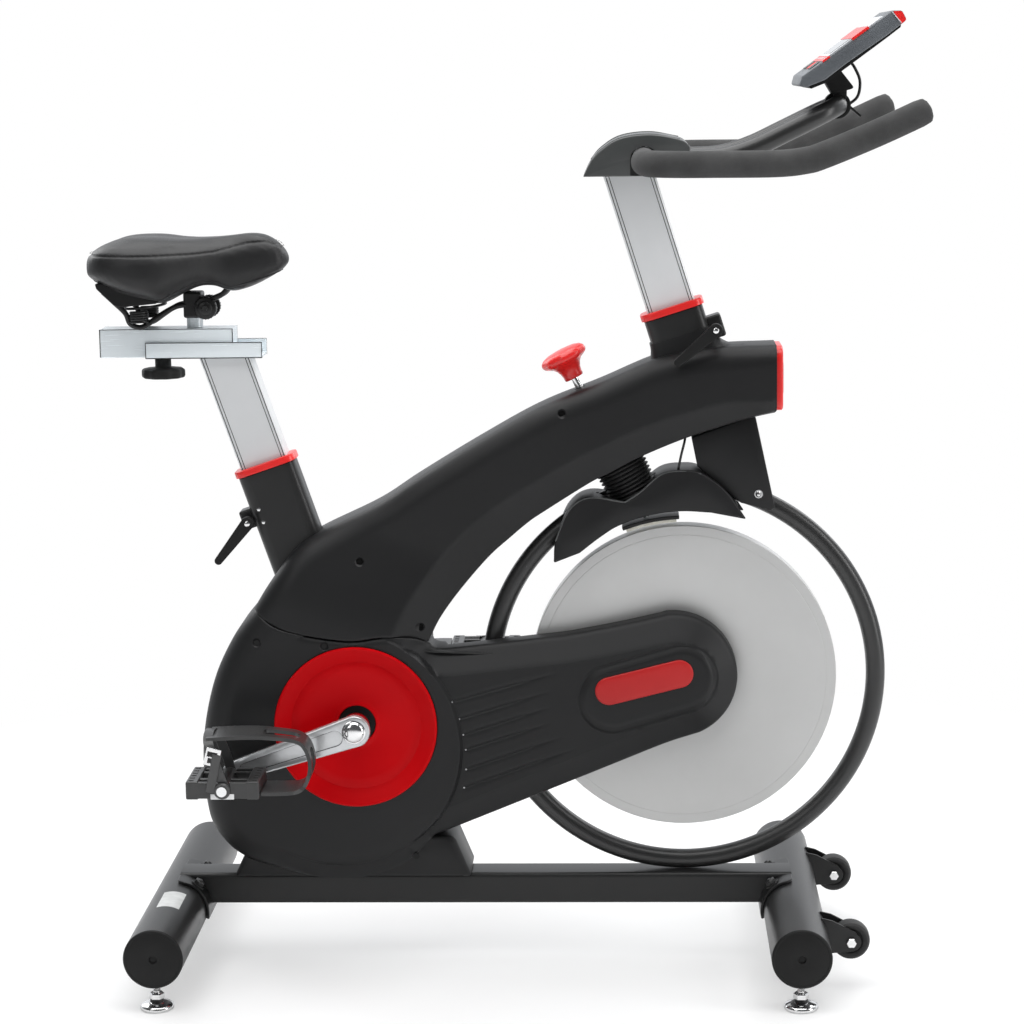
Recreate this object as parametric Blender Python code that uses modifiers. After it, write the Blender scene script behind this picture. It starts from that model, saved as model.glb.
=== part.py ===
"""Indoor cycling exercise bike.

Metres, +Z up, +X towards the front, the drive side at -Y.  The origin is on the floor, under
the middle of the bounding box.
"""
import math

import bmesh
import bpy
from mathutils import Matrix, Vector

# ---------------------------------------------------------------- driving dimensions
GAP = 0.0003                      # clearance between pieces that touch
WALL = 0.0025                     # plastic shell thickness

AXLE = Vector((0.242, 0.0, 0.380))        # flywheel axle
FLYWHEEL_R = 0.200
FLYWHEEL_HALF = 0.015
HOOP_TUBE_R = 0.0125
HOOP_STEPS = 48
BASE_TOP = 0.1147                 # top of the base tube
BASE_HEIGHT = 0.042
BASE_WIDTH = 0.050
HOOP_R = AXLE.z - BASE_TOP - HOOP_TUBE_R - GAP

CRANK = Vector((-0.185, 0.0, 0.327))      # crank axis
CRANK_LENGTH = 0.168
CRANK_ANGLE = math.radians(198.5)         # right crank at rest, from +X towards +Z
CRANK_PULLEY_R = 0.098
FLYWHEEL_PULLEY_R = 0.0245                # a quarter of the crank pulley
BELT_Y = -0.048
BELT_WIDTH = 0.010
BELT_THICK = 0.003
CRANK_DISC_R = 0.106

STAB_R = 0.038
STAB_Z = 0.0706
STAB_LENGTH = 0.497
STAB_STEPS = 24
STAB_X = {"rear": -0.430, "front": 0.384}
FOOT_Y = 0.230
FOOT_R = 0.0215
WHEEL = Vector((0.452, 0.147, 0.064))     # transport wheel centre, +Y side
WHEEL_R = 0.0245

COVER_DEPTH = 0.074               # outer face of the drive covers, from the centre plane
SHELL_DEPTH = 0.052               # outer face of the upper shells, along the beam
SWELL_LOW = 0.450                 # height at which the upper shells reach the covers' depth
SWELL_HIGH = 0.580                # height above which they have the beam's depth
SWELL_LEAN = 0.35                 # how fast those heights fall towards the front
EDGE_DROP = 0.030                 # most that a rounded shell edge falls back
ARM_INNER = 0.0195                # inner wall of the drive cover beside the flywheel

POST_DEPTH = 0.064                # post profile in side view
POST_WIDTH = 0.036
SLEEVE_DEPTH = 0.078
SLEEVE_WIDTH = 0.050
SEAT_TILT = math.radians(18.7)
HEAD_TILT = math.radians(17.4)
SEAT_COLLAR = Vector((-0.3005, 0.0, 0.6585))
HEAD_COLLAR = Vector((0.2305, 0.0, 0.8575))
COLLAR_HEIGHT = 0.009

BRAKE_TOP = Vector((0.088, 0.0, 0.802))   # knob centre, at the top of the brake rod
BRAKE_DOWN = Vector((0.454, 0.0, -0.891)).normalized()
BRAKE_ROD_R = 0.005
BRAKE_HOLE_R = 0.0065

BLOCK_HALF_Y = -0.0153            # right side of both clamp blocks

BAR_Z = 1.0545                    # level part of the handlebar
BAR_R = 0.0125
GRIP_R = 0.0165

# ---------------------------------------------------------------- scene and materials
for old in list(bpy.data.objects):
    bpy.data.objects.remove(old, do_unlink=True)

parts = bpy.data.collections.new("exercise_bike")
cutters = bpy.data.collections.new("cutters")
bpy.context.scene.collection.children.link(parts)
bpy.context.scene.collection.children.link(cutters)


def material(name, colour, roughness, metallic=0.0):
    mat = bpy.data.materials.new(name)
    mat.use_nodes = True
    shader = mat.node_tree.nodes["Principled BSDF"]
    shader.inputs["Base Color"].default_value = (*colour, 1.0)
    shader.inputs["Roughness"].default_value = roughness
    shader.inputs["Metallic"].default_value = metallic
    return mat


BLACK_PLASTIC = (0.018, 0.018, 0.020)
BLACK_STEEL = (0.014, 0.014, 0.015)
RED = (0.52, 0.0, 0.004)
SATIN = (0.62, 0.62, 0.63)


# ---------------------------------------------------------------- modelling helpers
def add_object(name, data, mat, origin=(0, 0, 0), collection=parts):
    """A new object whose data, given about its origin, stands at that origin."""
    obj = bpy.data.objects.new(name, data)
    obj.location = origin
    collection.objects.link(obj)
    if mat is not None:
        data.materials.append(mat)
    return obj


def mesh_object(name, bm, mat, origin=(0, 0, 0), smooth=True, collection=parts):
    """Turns a bmesh made in world coordinates into an object with the given origin."""
    bmesh.ops.translate(bm, verts=bm.verts, vec=-Vector(origin))
    bmesh.ops.recalc_face_normals(bm, faces=bm.faces)
    mesh = bpy.data.meshes.new(name)
    bm.to_mesh(mesh)
    bm.free()
    if smooth:
        mesh.shade_smooth()
        mesh.set_sharp_from_angle(angle=math.radians(35))
    return add_object(name, mesh, mat, origin, collection)


def frame_of(axis):
    """The rotation that takes +Z to the given direction."""
    return Vector(axis).to_track_quat("Z", "Y").to_matrix().to_4x4()


def box_bm(centre, size, turn=None):
    bm = bmesh.new()
    place = Matrix.Translation(centre) @ (turn or Matrix.Identity(4))
    bmesh.ops.create_cube(bm, size=1.0, matrix=place @ Matrix.Diagonal((*size, 1.0)))
    return bm


def rod_bm(start, end, radius, sides=16, end_radius=None):
    start = Vector(start)
    end = Vector(end)
    bm = bmesh.new()
    place = Matrix.Translation((start + end) / 2) @ frame_of(end - start)
    bmesh.ops.create_cone(bm, cap_ends=True, segments=sides, radius1=radius,
                          radius2=radius if end_radius is None else end_radius,
                          depth=(end - start).length, matrix=place)
    return bm


def box(name, mat, centre, size, turn=None, origin=None, edge=0.0):
    obj = mesh_object(name, box_bm(centre, size, turn), mat, origin or centre)
    if edge:
        round_edges(obj, edge)
    return obj


def rod(name, mat, start, end, radius, sides=16, origin=None, end_radius=None):
    return mesh_object(name, rod_bm(start, end, radius, sides, end_radius), mat,
                       origin if origin is not None else start)


def round_edges(obj, width, segments=1, angle=40):
    bevel = obj.modifiers.new("rounded_edges", "BEVEL")
    bevel.width = width
    bevel.segments = segments
    bevel.limit_method = "ANGLE"
    bevel.angle_limit = math.radians(angle)


def turned(name, mat, profile, origin, axis, steps=24, closed=False, collection=parts):
    """A turned piece: (radius, height) points, down the outer side, spun about the axis."""
    mesh = bpy.data.meshes.new(name)
    points = [(r, 0.0, h) for r, h in profile]
    edges = [(i, i + 1) for i in range(len(points) - 1)]
    if closed:
        edges.append((len(points) - 1, 0))
    mesh.from_pydata(points, edges, [])
    obj = add_object(name, mesh, mat, origin, collection)
    obj.rotation_euler = frame_of(axis).to_euler()
    screw = obj.modifiers.new("spin", "SCREW")
    screw.steps = steps
    screw.render_steps = steps
    screw.use_merge_vertices = True
    screw.merge_threshold = 0.00001
    screw.use_smooth_shade = False
    return obj


def ring(name, mat, origin, axis, outer, inner, low, high, steps=24, collection=parts):
    """A plain ring or tube between two heights along its axis."""
    profile = [(outer, high), (outer, low), (inner, low), (inner, high)]
    return turned(name, mat, profile, origin, axis, steps, True, collection)


def plate(name, mat, outline, y_middle, half, origin=None, collection=parts, edge=0.0):
    """A flat outline in the XZ plane, `half` thick to each side of y_middle."""
    origin = Vector(origin if origin is not None else (0, y_middle, 0))
    curve = bpy.data.curves.new(name, "CURVE")
    curve.dimensions = "2D"
    curve.fill_mode = "BOTH"
    curve.extrude = half - edge
    curve.bevel_depth = edge
    curve.bevel_resolution = 0
    curve.offset = -edge
    spline = curve.splines.new("POLY")
    spline.points.add(len(outline) - 1)
    for point, (x, z) in zip(spline.points, outline):
        point.co = (x - origin.x, z - origin.z, origin.y - y_middle, 1)
    spline.use_cyclic_u = True
    obj = add_object(name, curve, mat, origin, collection)
    obj.rotation_euler = (math.pi / 2, 0, 0)
    return obj


def tube(name, mat, points, radius, origin=(0, 0, 0), resolution=2, caps=True, closed=False):
    """A bent tube along points in world coordinates."""
    curve = bpy.data.curves.new(name, "CURVE")
    curve.dimensions = "3D"
    curve.bevel_depth = radius
    curve.bevel_resolution = resolution
    curve.use_fill_caps = caps
    spline = curve.splines.new("POLY")
    spline.points.add(len(points) - 1)
    for point, co in zip(spline.points, points):
        point.co = (*(Vector(co) - Vector(origin)), 1)
    spline.use_cyclic_u = closed
    return add_object(name, curve, mat, origin)


def as_mesh(obj, merge=0.00002):
    """Replaces a curve or modified object by its own mesh, caps welded."""
    bpy.context.view_layer.update()
    evaluated = obj.evaluated_get(bpy.context.evaluated_depsgraph_get())
    mesh = bpy.data.meshes.new_from_object(evaluated)
    bm = bmesh.new()
    bm.from_mesh(mesh)
    bmesh.ops.remove_doubles(bm, verts=bm.verts, dist=merge)
    bmesh.ops.recalc_face_normals(bm, faces=bm.faces)
    bm.to_mesh(mesh)
    bm.free()
    name = obj.name
    place = obj.matrix_world.copy()
    collection = obj.users_collection[0]
    bpy.data.objects.remove(obj, do_unlink=True)
    solid = bpy.data.objects.new(name, mesh)
    solid.matrix_world = place
    collection.objects.link(solid)
    return solid


def combine(obj, other, operation):
    other.hide_render = True
    other.display_type = "WIRE"
    for owner in list(other.users_collection):
        owner.objects.unlink(other)
    cutters.objects.link(other)
    boolean = obj.modifiers.new(operation.lower(), "BOOLEAN")
    boolean.operation = operation
    boolean.object = other
    boolean.solver = "EXACT"
    return obj


def cut(obj, cutter):
    return combine(obj, cutter, "DIFFERENCE")


def weld(obj, other):
    return combine(obj, other, "UNION")


def cutter_of(bm, name="cutter"):
    return mesh_object(name, bm, None, collection=cutters)


def arc(centre, radius, start, end, count):
    """Points (x, z) on an arc about centre, angles in degrees from +X towards +Z."""
    angles = [math.radians(start + (end - start) * i / (count - 1)) for i in range(count)]
    return [(centre[0] + radius * math.cos(a), centre[1] + radius * math.sin(a)) for a in angles]


def smooth_path(points, per_span=3):
    """Catmull-Rom points through the given ones, ends included."""
    points = [Vector(p) for p in points]
    ends = [2 * points[0] - points[1]] + points + [2 * points[-1] - points[-2]]
    path = []
    for a, b, c, d in zip(ends, ends[1:], ends[2:], ends[3:]):
        for i in range(per_span):
            t = i / per_span
            path.append(0.5 * ((2 * b) + (c - a) * t + (2 * a - 5 * b + 4 * c - d) * t * t
                               + (3 * b - a - 3 * c + d) * t ** 3))
    path.append(points[-1])
    return path


def loft(name, mat, loops, caps=(True, True), origin=(0, 0, 0), smooth=True):
    """Skins closed loops of equal length, one after another."""
    bm = bmesh.new()
    rows = [[bm.verts.new(co) for co in loop] for loop in loops]
    for low, high in zip(rows, rows[1:]):
        for i in range(len(low)):
            j = (i + 1) % len(low)
            bm.faces.new((low[i], low[j], high[j], high[i]))
    if caps[0]:
        bm.faces.new(rows[0])
    if caps[1]:
        bm.faces.new(list(reversed(rows[-1])))
    return mesh_object(name, bm, mat, origin, smooth)


def inset(outline, distances):
    """Moves each point of a closed outline inwards by its own distance."""
    area = sum(a[0] * b[1] - b[0] * a[1] for a, b in zip(outline, outline[1:] + outline[:1]))
    turn = 1.0 if area > 0 else -1.0
    moved = []
    for i, (x, z) in enumerate(outline):
        px, pz = outline[i - 1]
        nx, nz = outline[(i + 1) % len(outline)]
        along = Vector((nx - px, nz - pz)).normalized()
        moved.append((x - along.y * turn * distances[i], z + along.x * turn * distances[i]))
    return moved


def swell_height(x, z):
    """Height above the floor, measured so that the upper shells' depth depends on it alone."""
    return z + SWELL_LEAN * (x + 0.2)


def shell_depth(x, z):
    """Depth of the upper shells: the beam's, growing in straight lines to the covers'."""
    share = (SWELL_HIGH - swell_height(x, z)) / (SWELL_HIGH - SWELL_LOW)
    share = min(max(share, 0.0), 1.0)
    return SHELL_DEPTH + (COVER_DEPTH - SHELL_DEPTH) * share


def half_shell(name, mat, outline, rounding, depth_at, side, rim=None, creases=()):
    """One moulded half: open towards the centre plane, its outer edge rounded off.

    outline holds (x, z) points, rounding the width of the rounded edge at each, and rim how
    far from the centre plane the open edge stands at each.  side is -1 or +1.  depth_at gives
    the outer face's depth at (x, z), flat between the swell heights in creases.
    """
    rim = rim or [GAP] * len(outline)
    loops = [[(x, side * y, z) for (x, z), y in zip(outline, rim)]]
    steps = 2
    for k in range(steps + 1):
        angle = math.pi / 2 * k / steps
        moved = inset(outline, [w * (1 - math.cos(angle)) for w in rounding])
        drops = [min(w, EDGE_DROP) * (1 - math.sin(angle)) for w in rounding]
        loops.append([(x, side * (depth_at(x, z) - drop), z)
                      for (x, z), drop in zip(moved, drops)])
    shell = loft(name, mat, loops, caps=(False, True))
    bm = bmesh.new()
    bm.from_mesh(shell.data)
    bmesh.ops.recalc_face_normals(bm, faces=bm.faces)
    cap = max(bm.faces, key=lambda f: len(f.verts))
    if cap.normal.y * side < 0:
        bmesh.ops.reverse_faces(bm, faces=bm.faces)
    cap_faces = [cap]
    for height in creases:
        parts_of_cap = [*cap_faces, *{e for f in cap_faces for e in f.edges},
                        *{v for f in cap_faces for v in f.verts}]
        halves = bmesh.ops.bisect_plane(bm, geom=parts_of_cap, dist=1e-6,
                                        plane_co=(-0.2, 0, height),
                                        plane_no=(SWELL_LEAN, 0, 1))
        cap_faces = [g for g in halves["geom"] if isinstance(g, bmesh.types.BMFace)]
    for vert in {v for f in cap_faces for v in f.verts}:
        vert.co.y = side * depth_at(vert.co.x, vert.co.z)
    bm.to_mesh(shell.data)
    bm.free()
    solidify = shell.modifiers.new("wall", "SOLIDIFY")
    solidify.thickness = WALL
    solidify.offset = -1
    solidify.use_rim = True
    return shell


def side_cylinder(centre, radius, y0, y1, sides=24):
    return rod_bm((centre[0], y0, centre[1]), (centre[0], y1, centre[1]), radius, sides)


def along(origin, tilt, distance, across=0.0):
    """A point on a post's axis, which leans back by tilt, and to the front of it by across."""
    up = Vector((-math.sin(tilt), 0, math.cos(tilt)))
    front = Vector((math.cos(tilt), 0, math.sin(tilt)))
    return origin + up * distance + front * across


def post_turn(tilt):
    return Matrix.Rotation(-tilt, 4, "Y")


def brake_point(distance):
    return BRAKE_TOP + BRAKE_DOWN * distance


# ---------------------------------------------------------------- outlines of the body
# The seam between the upper shells and the drive covers, from the front to the back.
SEAM = [(-0.090, 0.4335), (-0.112, 0.4440), (-0.198, 0.4400), (-0.278, 0.4550), (-0.317, 0.479)]
BEAM_TOP = [(-0.317, 0.480), (-0.294, 0.516), (-0.262, 0.556), (-0.227, 0.579), (-0.154, 0.614),
            (-0.101, 0.648), (-0.021, 0.696), (0.058, 0.739), (0.136, 0.770), (0.214, 0.802),
            (0.285, 0.814), (0.362, 0.817)]
BEAM_BOTTOM = [(0.362, 0.731), (0.323, 0.7225), (0.252, 0.698), (0.187, 0.6735),
               (0.124, 0.6405), (0.082, 0.6155), (0.039, 0.586), (-0.007, 0.5460),
               (-0.060, 0.4845), (-0.086, 0.4395)]
BODY_REAR = [(-0.317, 0.479), (-0.346, 0.441), (-0.374, 0.380), (-0.390, 0.299),
             (-0.387, 0.217), (-0.372, 0.176), (-0.335, 0.143), (-0.262, 0.124),
             (-0.188, 0.121), (-0.130, 0.138), (-0.088, 0.176)]
ARM_LOW = [(-0.088, 0.176), (-0.038, 0.199), (0.047, 0.233), (0.132, 0.266), (0.255, 0.313)]
ARM_NOSE = ((0.2285, 0.3870), 0.083)
ARM_TOP = [(0.215, 0.4675), (0.160, 0.4550), (0.094, 0.4430), (0.020, 0.4350),
           (-0.0415, 0.4288), (-0.070, 0.4262)]


def outline_of(*runs):
    """Joins smooth runs of points into one closed outline without repeats."""
    points = []
    for run in runs:
        for point in run:
            if not points or (Vector(point) - Vector(points[-1])).length > 0.002:
                points.append((point[0], point[1]))
    if (Vector(points[0]) - Vector(points[-1])).length < 0.002:
        points.pop()
    return points


def blend_width(x, z, wide, narrow):
    """Edge rounding: wide on the round rear of the body, narrow on the front arm."""
    share = min(max((-0.10 - x) / 0.15, 0.0), 1.0)
    if z > 0.43:
        share *= 0.3
    return narrow + (wide - narrow) * share


# ---------------------------------------------------------------- base
def build_base():
    steel = material("black_satin_steel", BLACK_STEEL, 0.35, 0.6)
    cap_plastic = material("end_cap_plastic", BLACK_PLASTIC, 0.5)
    clear = STAB_R + 2 * GAP
    rear = STAB_X["rear"]
    front = STAB_X["front"]
    middle = (rear + front) / 2
    base = box("base_tube", steel, (middle, 0, BASE_TOP - BASE_HEIGHT / 2),
               (front - rear + 0.012, BASE_WIDTH, BASE_HEIGHT), edge=0.004)
    for key, towards in (("rear", 1), ("front", -1)):
        saddle = ring("saddle_plate", steel, (STAB_X[key], 0, STAB_Z), (0, 1, 0),
                      STAB_R + 0.0045, STAB_R, -0.055, 0.055, STAB_STEPS)
        saddle = as_mesh(saddle)
        away = cutter_of(box_bm((STAB_X[key] - towards * 0.052, 0, STAB_Z), (0.10, 0.2, 0.2)))
        below = cutter_of(box_bm((STAB_X[key], 0, STAB_Z - 0.063), (0.2, 0.2, 0.1)))
        cut(saddle, away)
        cut(saddle, below)
        weld(base, saddle)
    for key in STAB_X:
        hole = rod_bm((STAB_X[key], -0.1, STAB_Z), (STAB_X[key], 0.1, STAB_Z), clear, STAB_STEPS)
        cut(base, cutter_of(hole))
    for key, x in STAB_X.items():
        build_stabilizer(key, x, steel, cap_plastic)
    return base


def build_stabilizer(key, x, steel, cap_plastic):
    half = STAB_LENGTH / 2
    bar = ring(key + "_stabilizer", steel, (x, 0, STAB_Z), (0, 1, 0), STAB_R, STAB_R - 0.002,
               -half, half, STAB_STEPS)
    bar = as_mesh(bar)
    bar.data.materials.clear()
    bar.data.materials.append(steel)
    for side, y in (("right", -1), ("left", 1)):
        hole = rod_bm((x, y * FOOT_Y, 0.02), (x, y * FOOT_Y, 0.05), 0.0055, 12)
        cut(bar, cutter_of(hole))
        if key == "front":
            for cheek in (-0.0145, 0.0145):
                weld(bar, wheel_cheek(y * WHEEL.y + cheek))
            pin = side_cylinder((WHEEL.x, WHEEL.z), 0.0044, y * WHEEL.y - 0.03,
                                y * WHEEL.y + 0.03, 12)
            cut(bar, cutter_of(pin))
        foot = [(0.0, 0.060), (0.005, 0.060), (0.005, 0.0205), (0.010, 0.0205), (0.010, 0.010),
                (FOOT_R, 0.005), (FOOT_R, 0.0), (0.0, 0.0)]
        chrome = material("chromed_foot", (0.7, 0.7, 0.7), 0.15, 1.0)
        turned("levelling_foot_" + key + "_" + side, chrome, foot, (x, y * FOOT_Y, 0.0),
               (0, 0, 1), 16)
        start = y * (half + GAP)
        profile = [(0.0, 0.003), (STAB_R - 0.003, 0.003), (STAB_R, 0.0), (STAB_R, -0.0002),
                   (0.0, -0.0002)]
        turned("end_cap_" + key + "_" + side, cap_plastic, profile,
               (x, start + y * 0.0002, STAB_Z), (0, y, 0), 24)


def wheel_cheek(y):
    """One of the two plates that carry a transport wheel."""
    x = STAB_X["front"]
    outline = outline_of([(x + 0.030, 0.094), (WHEEL.x, WHEEL.z + 0.012)],
                         arc((WHEEL.x, WHEEL.z), 0.012, 60, -90, 6),
                         [(x + 0.030, 0.050)])
    return as_mesh(plate("wheel_cheek", None, outline, y, 0.0015))


# ---------------------------------------------------------------- frame
def build_hoop():
    steel = material("hoop_steel", BLACK_STEEL, 0.3, 0.6)
    points = [(AXLE.x + HOOP_R * math.cos(a), 0, AXLE.z + HOOP_R * math.sin(a))
              for a in (2 * math.pi * i / HOOP_STEPS for i in range(HOOP_STEPS))]
    hoop = as_mesh(tube("frame_hoop", steel, points, HOOP_TUBE_R, caps=False, closed=True))
    cut(hoop, cutter_of(rod_bm(brake_point(0.17), brake_point(0.225), BRAKE_HOLE_R, 12)))
    return hoop


def hoop_channel(clearance):
    """A ring-shaped cutter a little fatter than the hoop."""
    points = [(AXLE.x + HOOP_R * math.cos(a), 0, AXLE.z + HOOP_R * math.sin(a))
              for a in (2 * math.pi * i / HOOP_STEPS for i in range(HOOP_STEPS))]
    return as_mesh(tube("hoop_channel", None, points, HOOP_TUBE_R + clearance, caps=False,
                        closed=True))


def build_seat_tube():
    """Seat tube, bottom bracket shell and the two arms that carry the flywheel."""
    steel = material("frame_steel", BLACK_STEEL, 0.4, 0.5)
    low = 0.055
    high = (SEAT_COLLAR - CRANK).length - GAP
    turn = post_turn(SEAT_TILT)
    middle = along(SEAT_COLLAR, SEAT_TILT, -GAP - (high - low) / 2)
    frame = box("seat_tube", steel, middle, (SLEEVE_DEPTH, SLEEVE_WIDTH, high - low), turn)
    cavity_top = along(SEAT_COLLAR, SEAT_TILT, 0.02)
    cavity_low = along(SEAT_COLLAR, SEAT_TILT, -0.285)
    cavity = box_bm((cavity_top + cavity_low) / 2,
                    (POST_DEPTH + 0.001, POST_WIDTH + 0.001, (cavity_top - cavity_low).length),
                    turn)
    web = box_bm(along(SEAT_COLLAR, SEAT_TILT, -0.315), (0.050, 0.040, 0.075), turn)
    weld(frame, cutter_of(web))
    weld(frame, cutter_of(rod_bm((CRANK.x, -0.034, CRANK.z), (CRANK.x, 0.034, CRANK.z), 0.030,
                                 24)))
    weld(frame, cutter_of(box_bm(((CRANK.x - 0.03), 0, 0.213), (0.05, 0.030, 0.195))))
    for side in (-1, 1):
        weld(frame, fork_arm(side))
    block = box_bm(along(SEAT_COLLAR, SEAT_TILT, -0.055, -SLEEVE_DEPTH / 2 - 0.006),
                   (0.020, 0.030, 0.026), turn)
    weld(frame, cutter_of(block))
    cut(frame, cutter_of(cavity))
    cut(frame, cutter_of(side_bore(CRANK, 0.0105, 0.06)))
    cut(frame, cutter_of(side_bore(AXLE, 0.0065, 0.06)))
    return frame


def side_bore(point, radius, half, sides=20):
    return side_cylinder((point.x, point.z), radius, -half, half, sides)


def fork_arm(side):
    """A flat steel arm from the bottom bracket to the flywheel axle."""
    direction = (AXLE - CRANK).normalized()
    tilt = math.degrees(math.atan2(direction.z, direction.x))
    outline = outline_of(arc((CRANK.x, CRANK.z), 0.026, tilt + 90, tilt + 270, 7),
                         arc((AXLE.x, AXLE.z), 0.020, tilt - 90, tilt + 90, 9))
    return as_mesh(plate("fork_arm", None, outline, side * 0.029, 0.003))


def build_main_beam():
    """Main beam with the handlebar sleeve, inside the upper shells."""
    steel = material("beam_steel", BLACK_STEEL, 0.4, 0.5)
    top = [(-0.150, 0.600), (-0.096, 0.637), (-0.015, 0.684), (0.064, 0.727), (0.140, 0.757),
           (0.216, 0.788), (0.285, 0.801), (0.350, 0.804)]
    low = [(0.350, 0.746), (0.315, 0.738), (0.247, 0.713), (0.181, 0.690), (0.114, 0.654),
           (0.070, 0.627), (0.016, 0.583), (-0.060, 0.510)]
    outline = outline_of(smooth_path(top, 2), smooth_path(low, 2), [(-0.118, 0.470),
                                                                   (-0.175, 0.560)])
    beam = as_mesh(plate("main_beam", steel, outline, 0, 0.020, origin=(0, 0, 0)))
    turn = post_turn(HEAD_TILT)
    depth = 0.150
    middle = along(HEAD_COLLAR, HEAD_TILT, -GAP - depth / 2)
    weld(beam, cutter_of(box_bm(middle, (SLEEVE_DEPTH, SLEEVE_WIDTH, depth), turn)))
    block = box_bm(along(HEAD_COLLAR, HEAD_TILT, -0.034, SLEEVE_DEPTH / 2 + 0.007),
                   (0.022, 0.030, 0.030), turn)
    weld(beam, cutter_of(block))
    cavity = box_bm(along(HEAD_COLLAR, HEAD_TILT, -depth / 2 + 0.02),
                    (POST_DEPTH + 0.001, POST_WIDTH + 0.001, depth + 0.08), turn)
    cut(beam, cutter_of(cavity))
    cut(beam, cutter_of(rod_bm(brake_point(0.02), brake_point(0.19), BRAKE_HOLE_R, 12)))
    return beam


def build_front_strut():
    steel = material("strut_steel", BLACK_PLASTIC, 0.45, 0.2)
    outline = [(0.2535, 0.6965), (0.323, 0.7210), (0.336, 0.7238), (0.361, 0.606), (0.356, 0.6005),
               (0.317, 0.611), (0.261, 0.659)]
    strut = as_mesh(plate("front_strut", steel, outline, 0, 0.026, origin=(0, 0, 0)))
    cut(strut, hoop_channel(GAP))
    return strut


def build_upper_shells():
    path_top = smooth_path(BEAM_TOP, 2)
    path_low = smooth_path(BEAM_BOTTOM, 2)
    seam = smooth_path(SEAM, 2)
    outline = outline_of(path_top, path_low, seam)
    outline = inset(outline, [0.0004] * len(outline))
    rounding = [0.016 for x, z in outline]
    for name, side in (("right", -1), ("left", 1)):
        mat = material("upper_shell_plastic_" + name, BLACK_PLASTIC, 0.5)
        shell = half_shell("body_shell_" + name, mat, outline, rounding, shell_depth, side,
                           creases=(SWELL_LOW, SWELL_HIGH))
        for cutter in shell_openings():
            cut(shell, cutter)
    return shell


def shell_openings():
    """Where the two sleeves, the frame and the brake rod pass through the upper shells."""
    head_turn = post_turn(HEAD_TILT)
    room = 2 * GAP
    sleeve = (SLEEVE_DEPTH + room, SLEEVE_WIDTH + room)
    head = box_bm(along(HEAD_COLLAR, HEAD_TILT, -0.03), (*sleeve, 0.25), head_turn)
    rod_hole = rod_bm(brake_point(0.02), brake_point(0.17), BRAKE_HOLE_R, 12)
    return [seat_sleeve_room(), cutter_of(head), cutter_of(rod_hole)]


def seat_sleeve_room():
    """The space that the seat tube takes, a hair larger."""
    sleeve = (SLEEVE_DEPTH + 2 * GAP, SLEEVE_WIDTH + 2 * GAP, 0.34)
    return cutter_of(box_bm(along(SEAT_COLLAR, SEAT_TILT, -0.16), sleeve, post_turn(SEAT_TILT)))


def build_drive_covers():
    rear = smooth_path(BODY_REAR, 2)
    seam = [(x, z - 0.0004) for x, z in smooth_path(SEAM, 2)]
    nose = arc(*ARM_NOSE, -72, 98, 9)
    right = outline_of(rear, smooth_path(ARM_LOW, 2), nose, smooth_path(ARM_TOP, 2), seam)
    left = outline_of(rear, [(-0.066, 0.205), (-0.060, 0.250), (-0.058, 0.350),
                             (-0.060, 0.400), (-0.068, 0.424)], seam)
    for name, side, outline in (("right", -1, right), ("left", 1, left)):
        rounding = [blend_width(x, z, 0.042, 0.010) for x, z in outline]
        rim = [ARM_INNER if x > -0.070 and side < 0 else GAP for x, z in outline]
        mat = material("drive_cover_plastic_" + name, BLACK_PLASTIC, 0.5)
        cover = half_shell("drive_cover_" + name, mat, outline, rounding,
                           lambda x, z: COVER_DEPTH, side, rim)
        cut(cover, cutter_of(side_cylinder((CRANK.x, CRANK.z), CRANK_DISC_R + 0.001,
                                           side * 0.060, side * 0.09, 40)))
        if side < 0:
            weld(cover, cover_inner_wall())
            cut(cover, cutter_of(side_cylinder((AXLE.x, AXLE.z), 0.016, -0.015, -0.025, 20)))
        floor_slot = box_bm((CRANK.x - 0.030, 0, 0.125), (0.054, 0.034, 0.06))
        cut(cover, cutter_of(floor_slot))
        cut(cover, cutter_of(box_bm((-0.060, side * 0.029, 0.343), (0.040, 0.0076, 0.060))))
        cut(cover, seat_sleeve_room())
    return cover


def cover_inner_wall():
    """The inner wall of the right drive cover, between its belt and the flywheel."""
    low = [(x, z + 0.001) for x, z in smooth_path(ARM_LOW[1:], 2)]
    nose = arc(ARM_NOSE[0], ARM_NOSE[1] - 0.001, -72, 98, 9)
    top = [(x, z - 0.001) for x, z in smooth_path(ARM_TOP, 2)]
    outline = outline_of(low, nose, top)
    return as_mesh(plate("cover_inner_wall", None, outline, -ARM_INNER - 0.001, 0.001))


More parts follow.
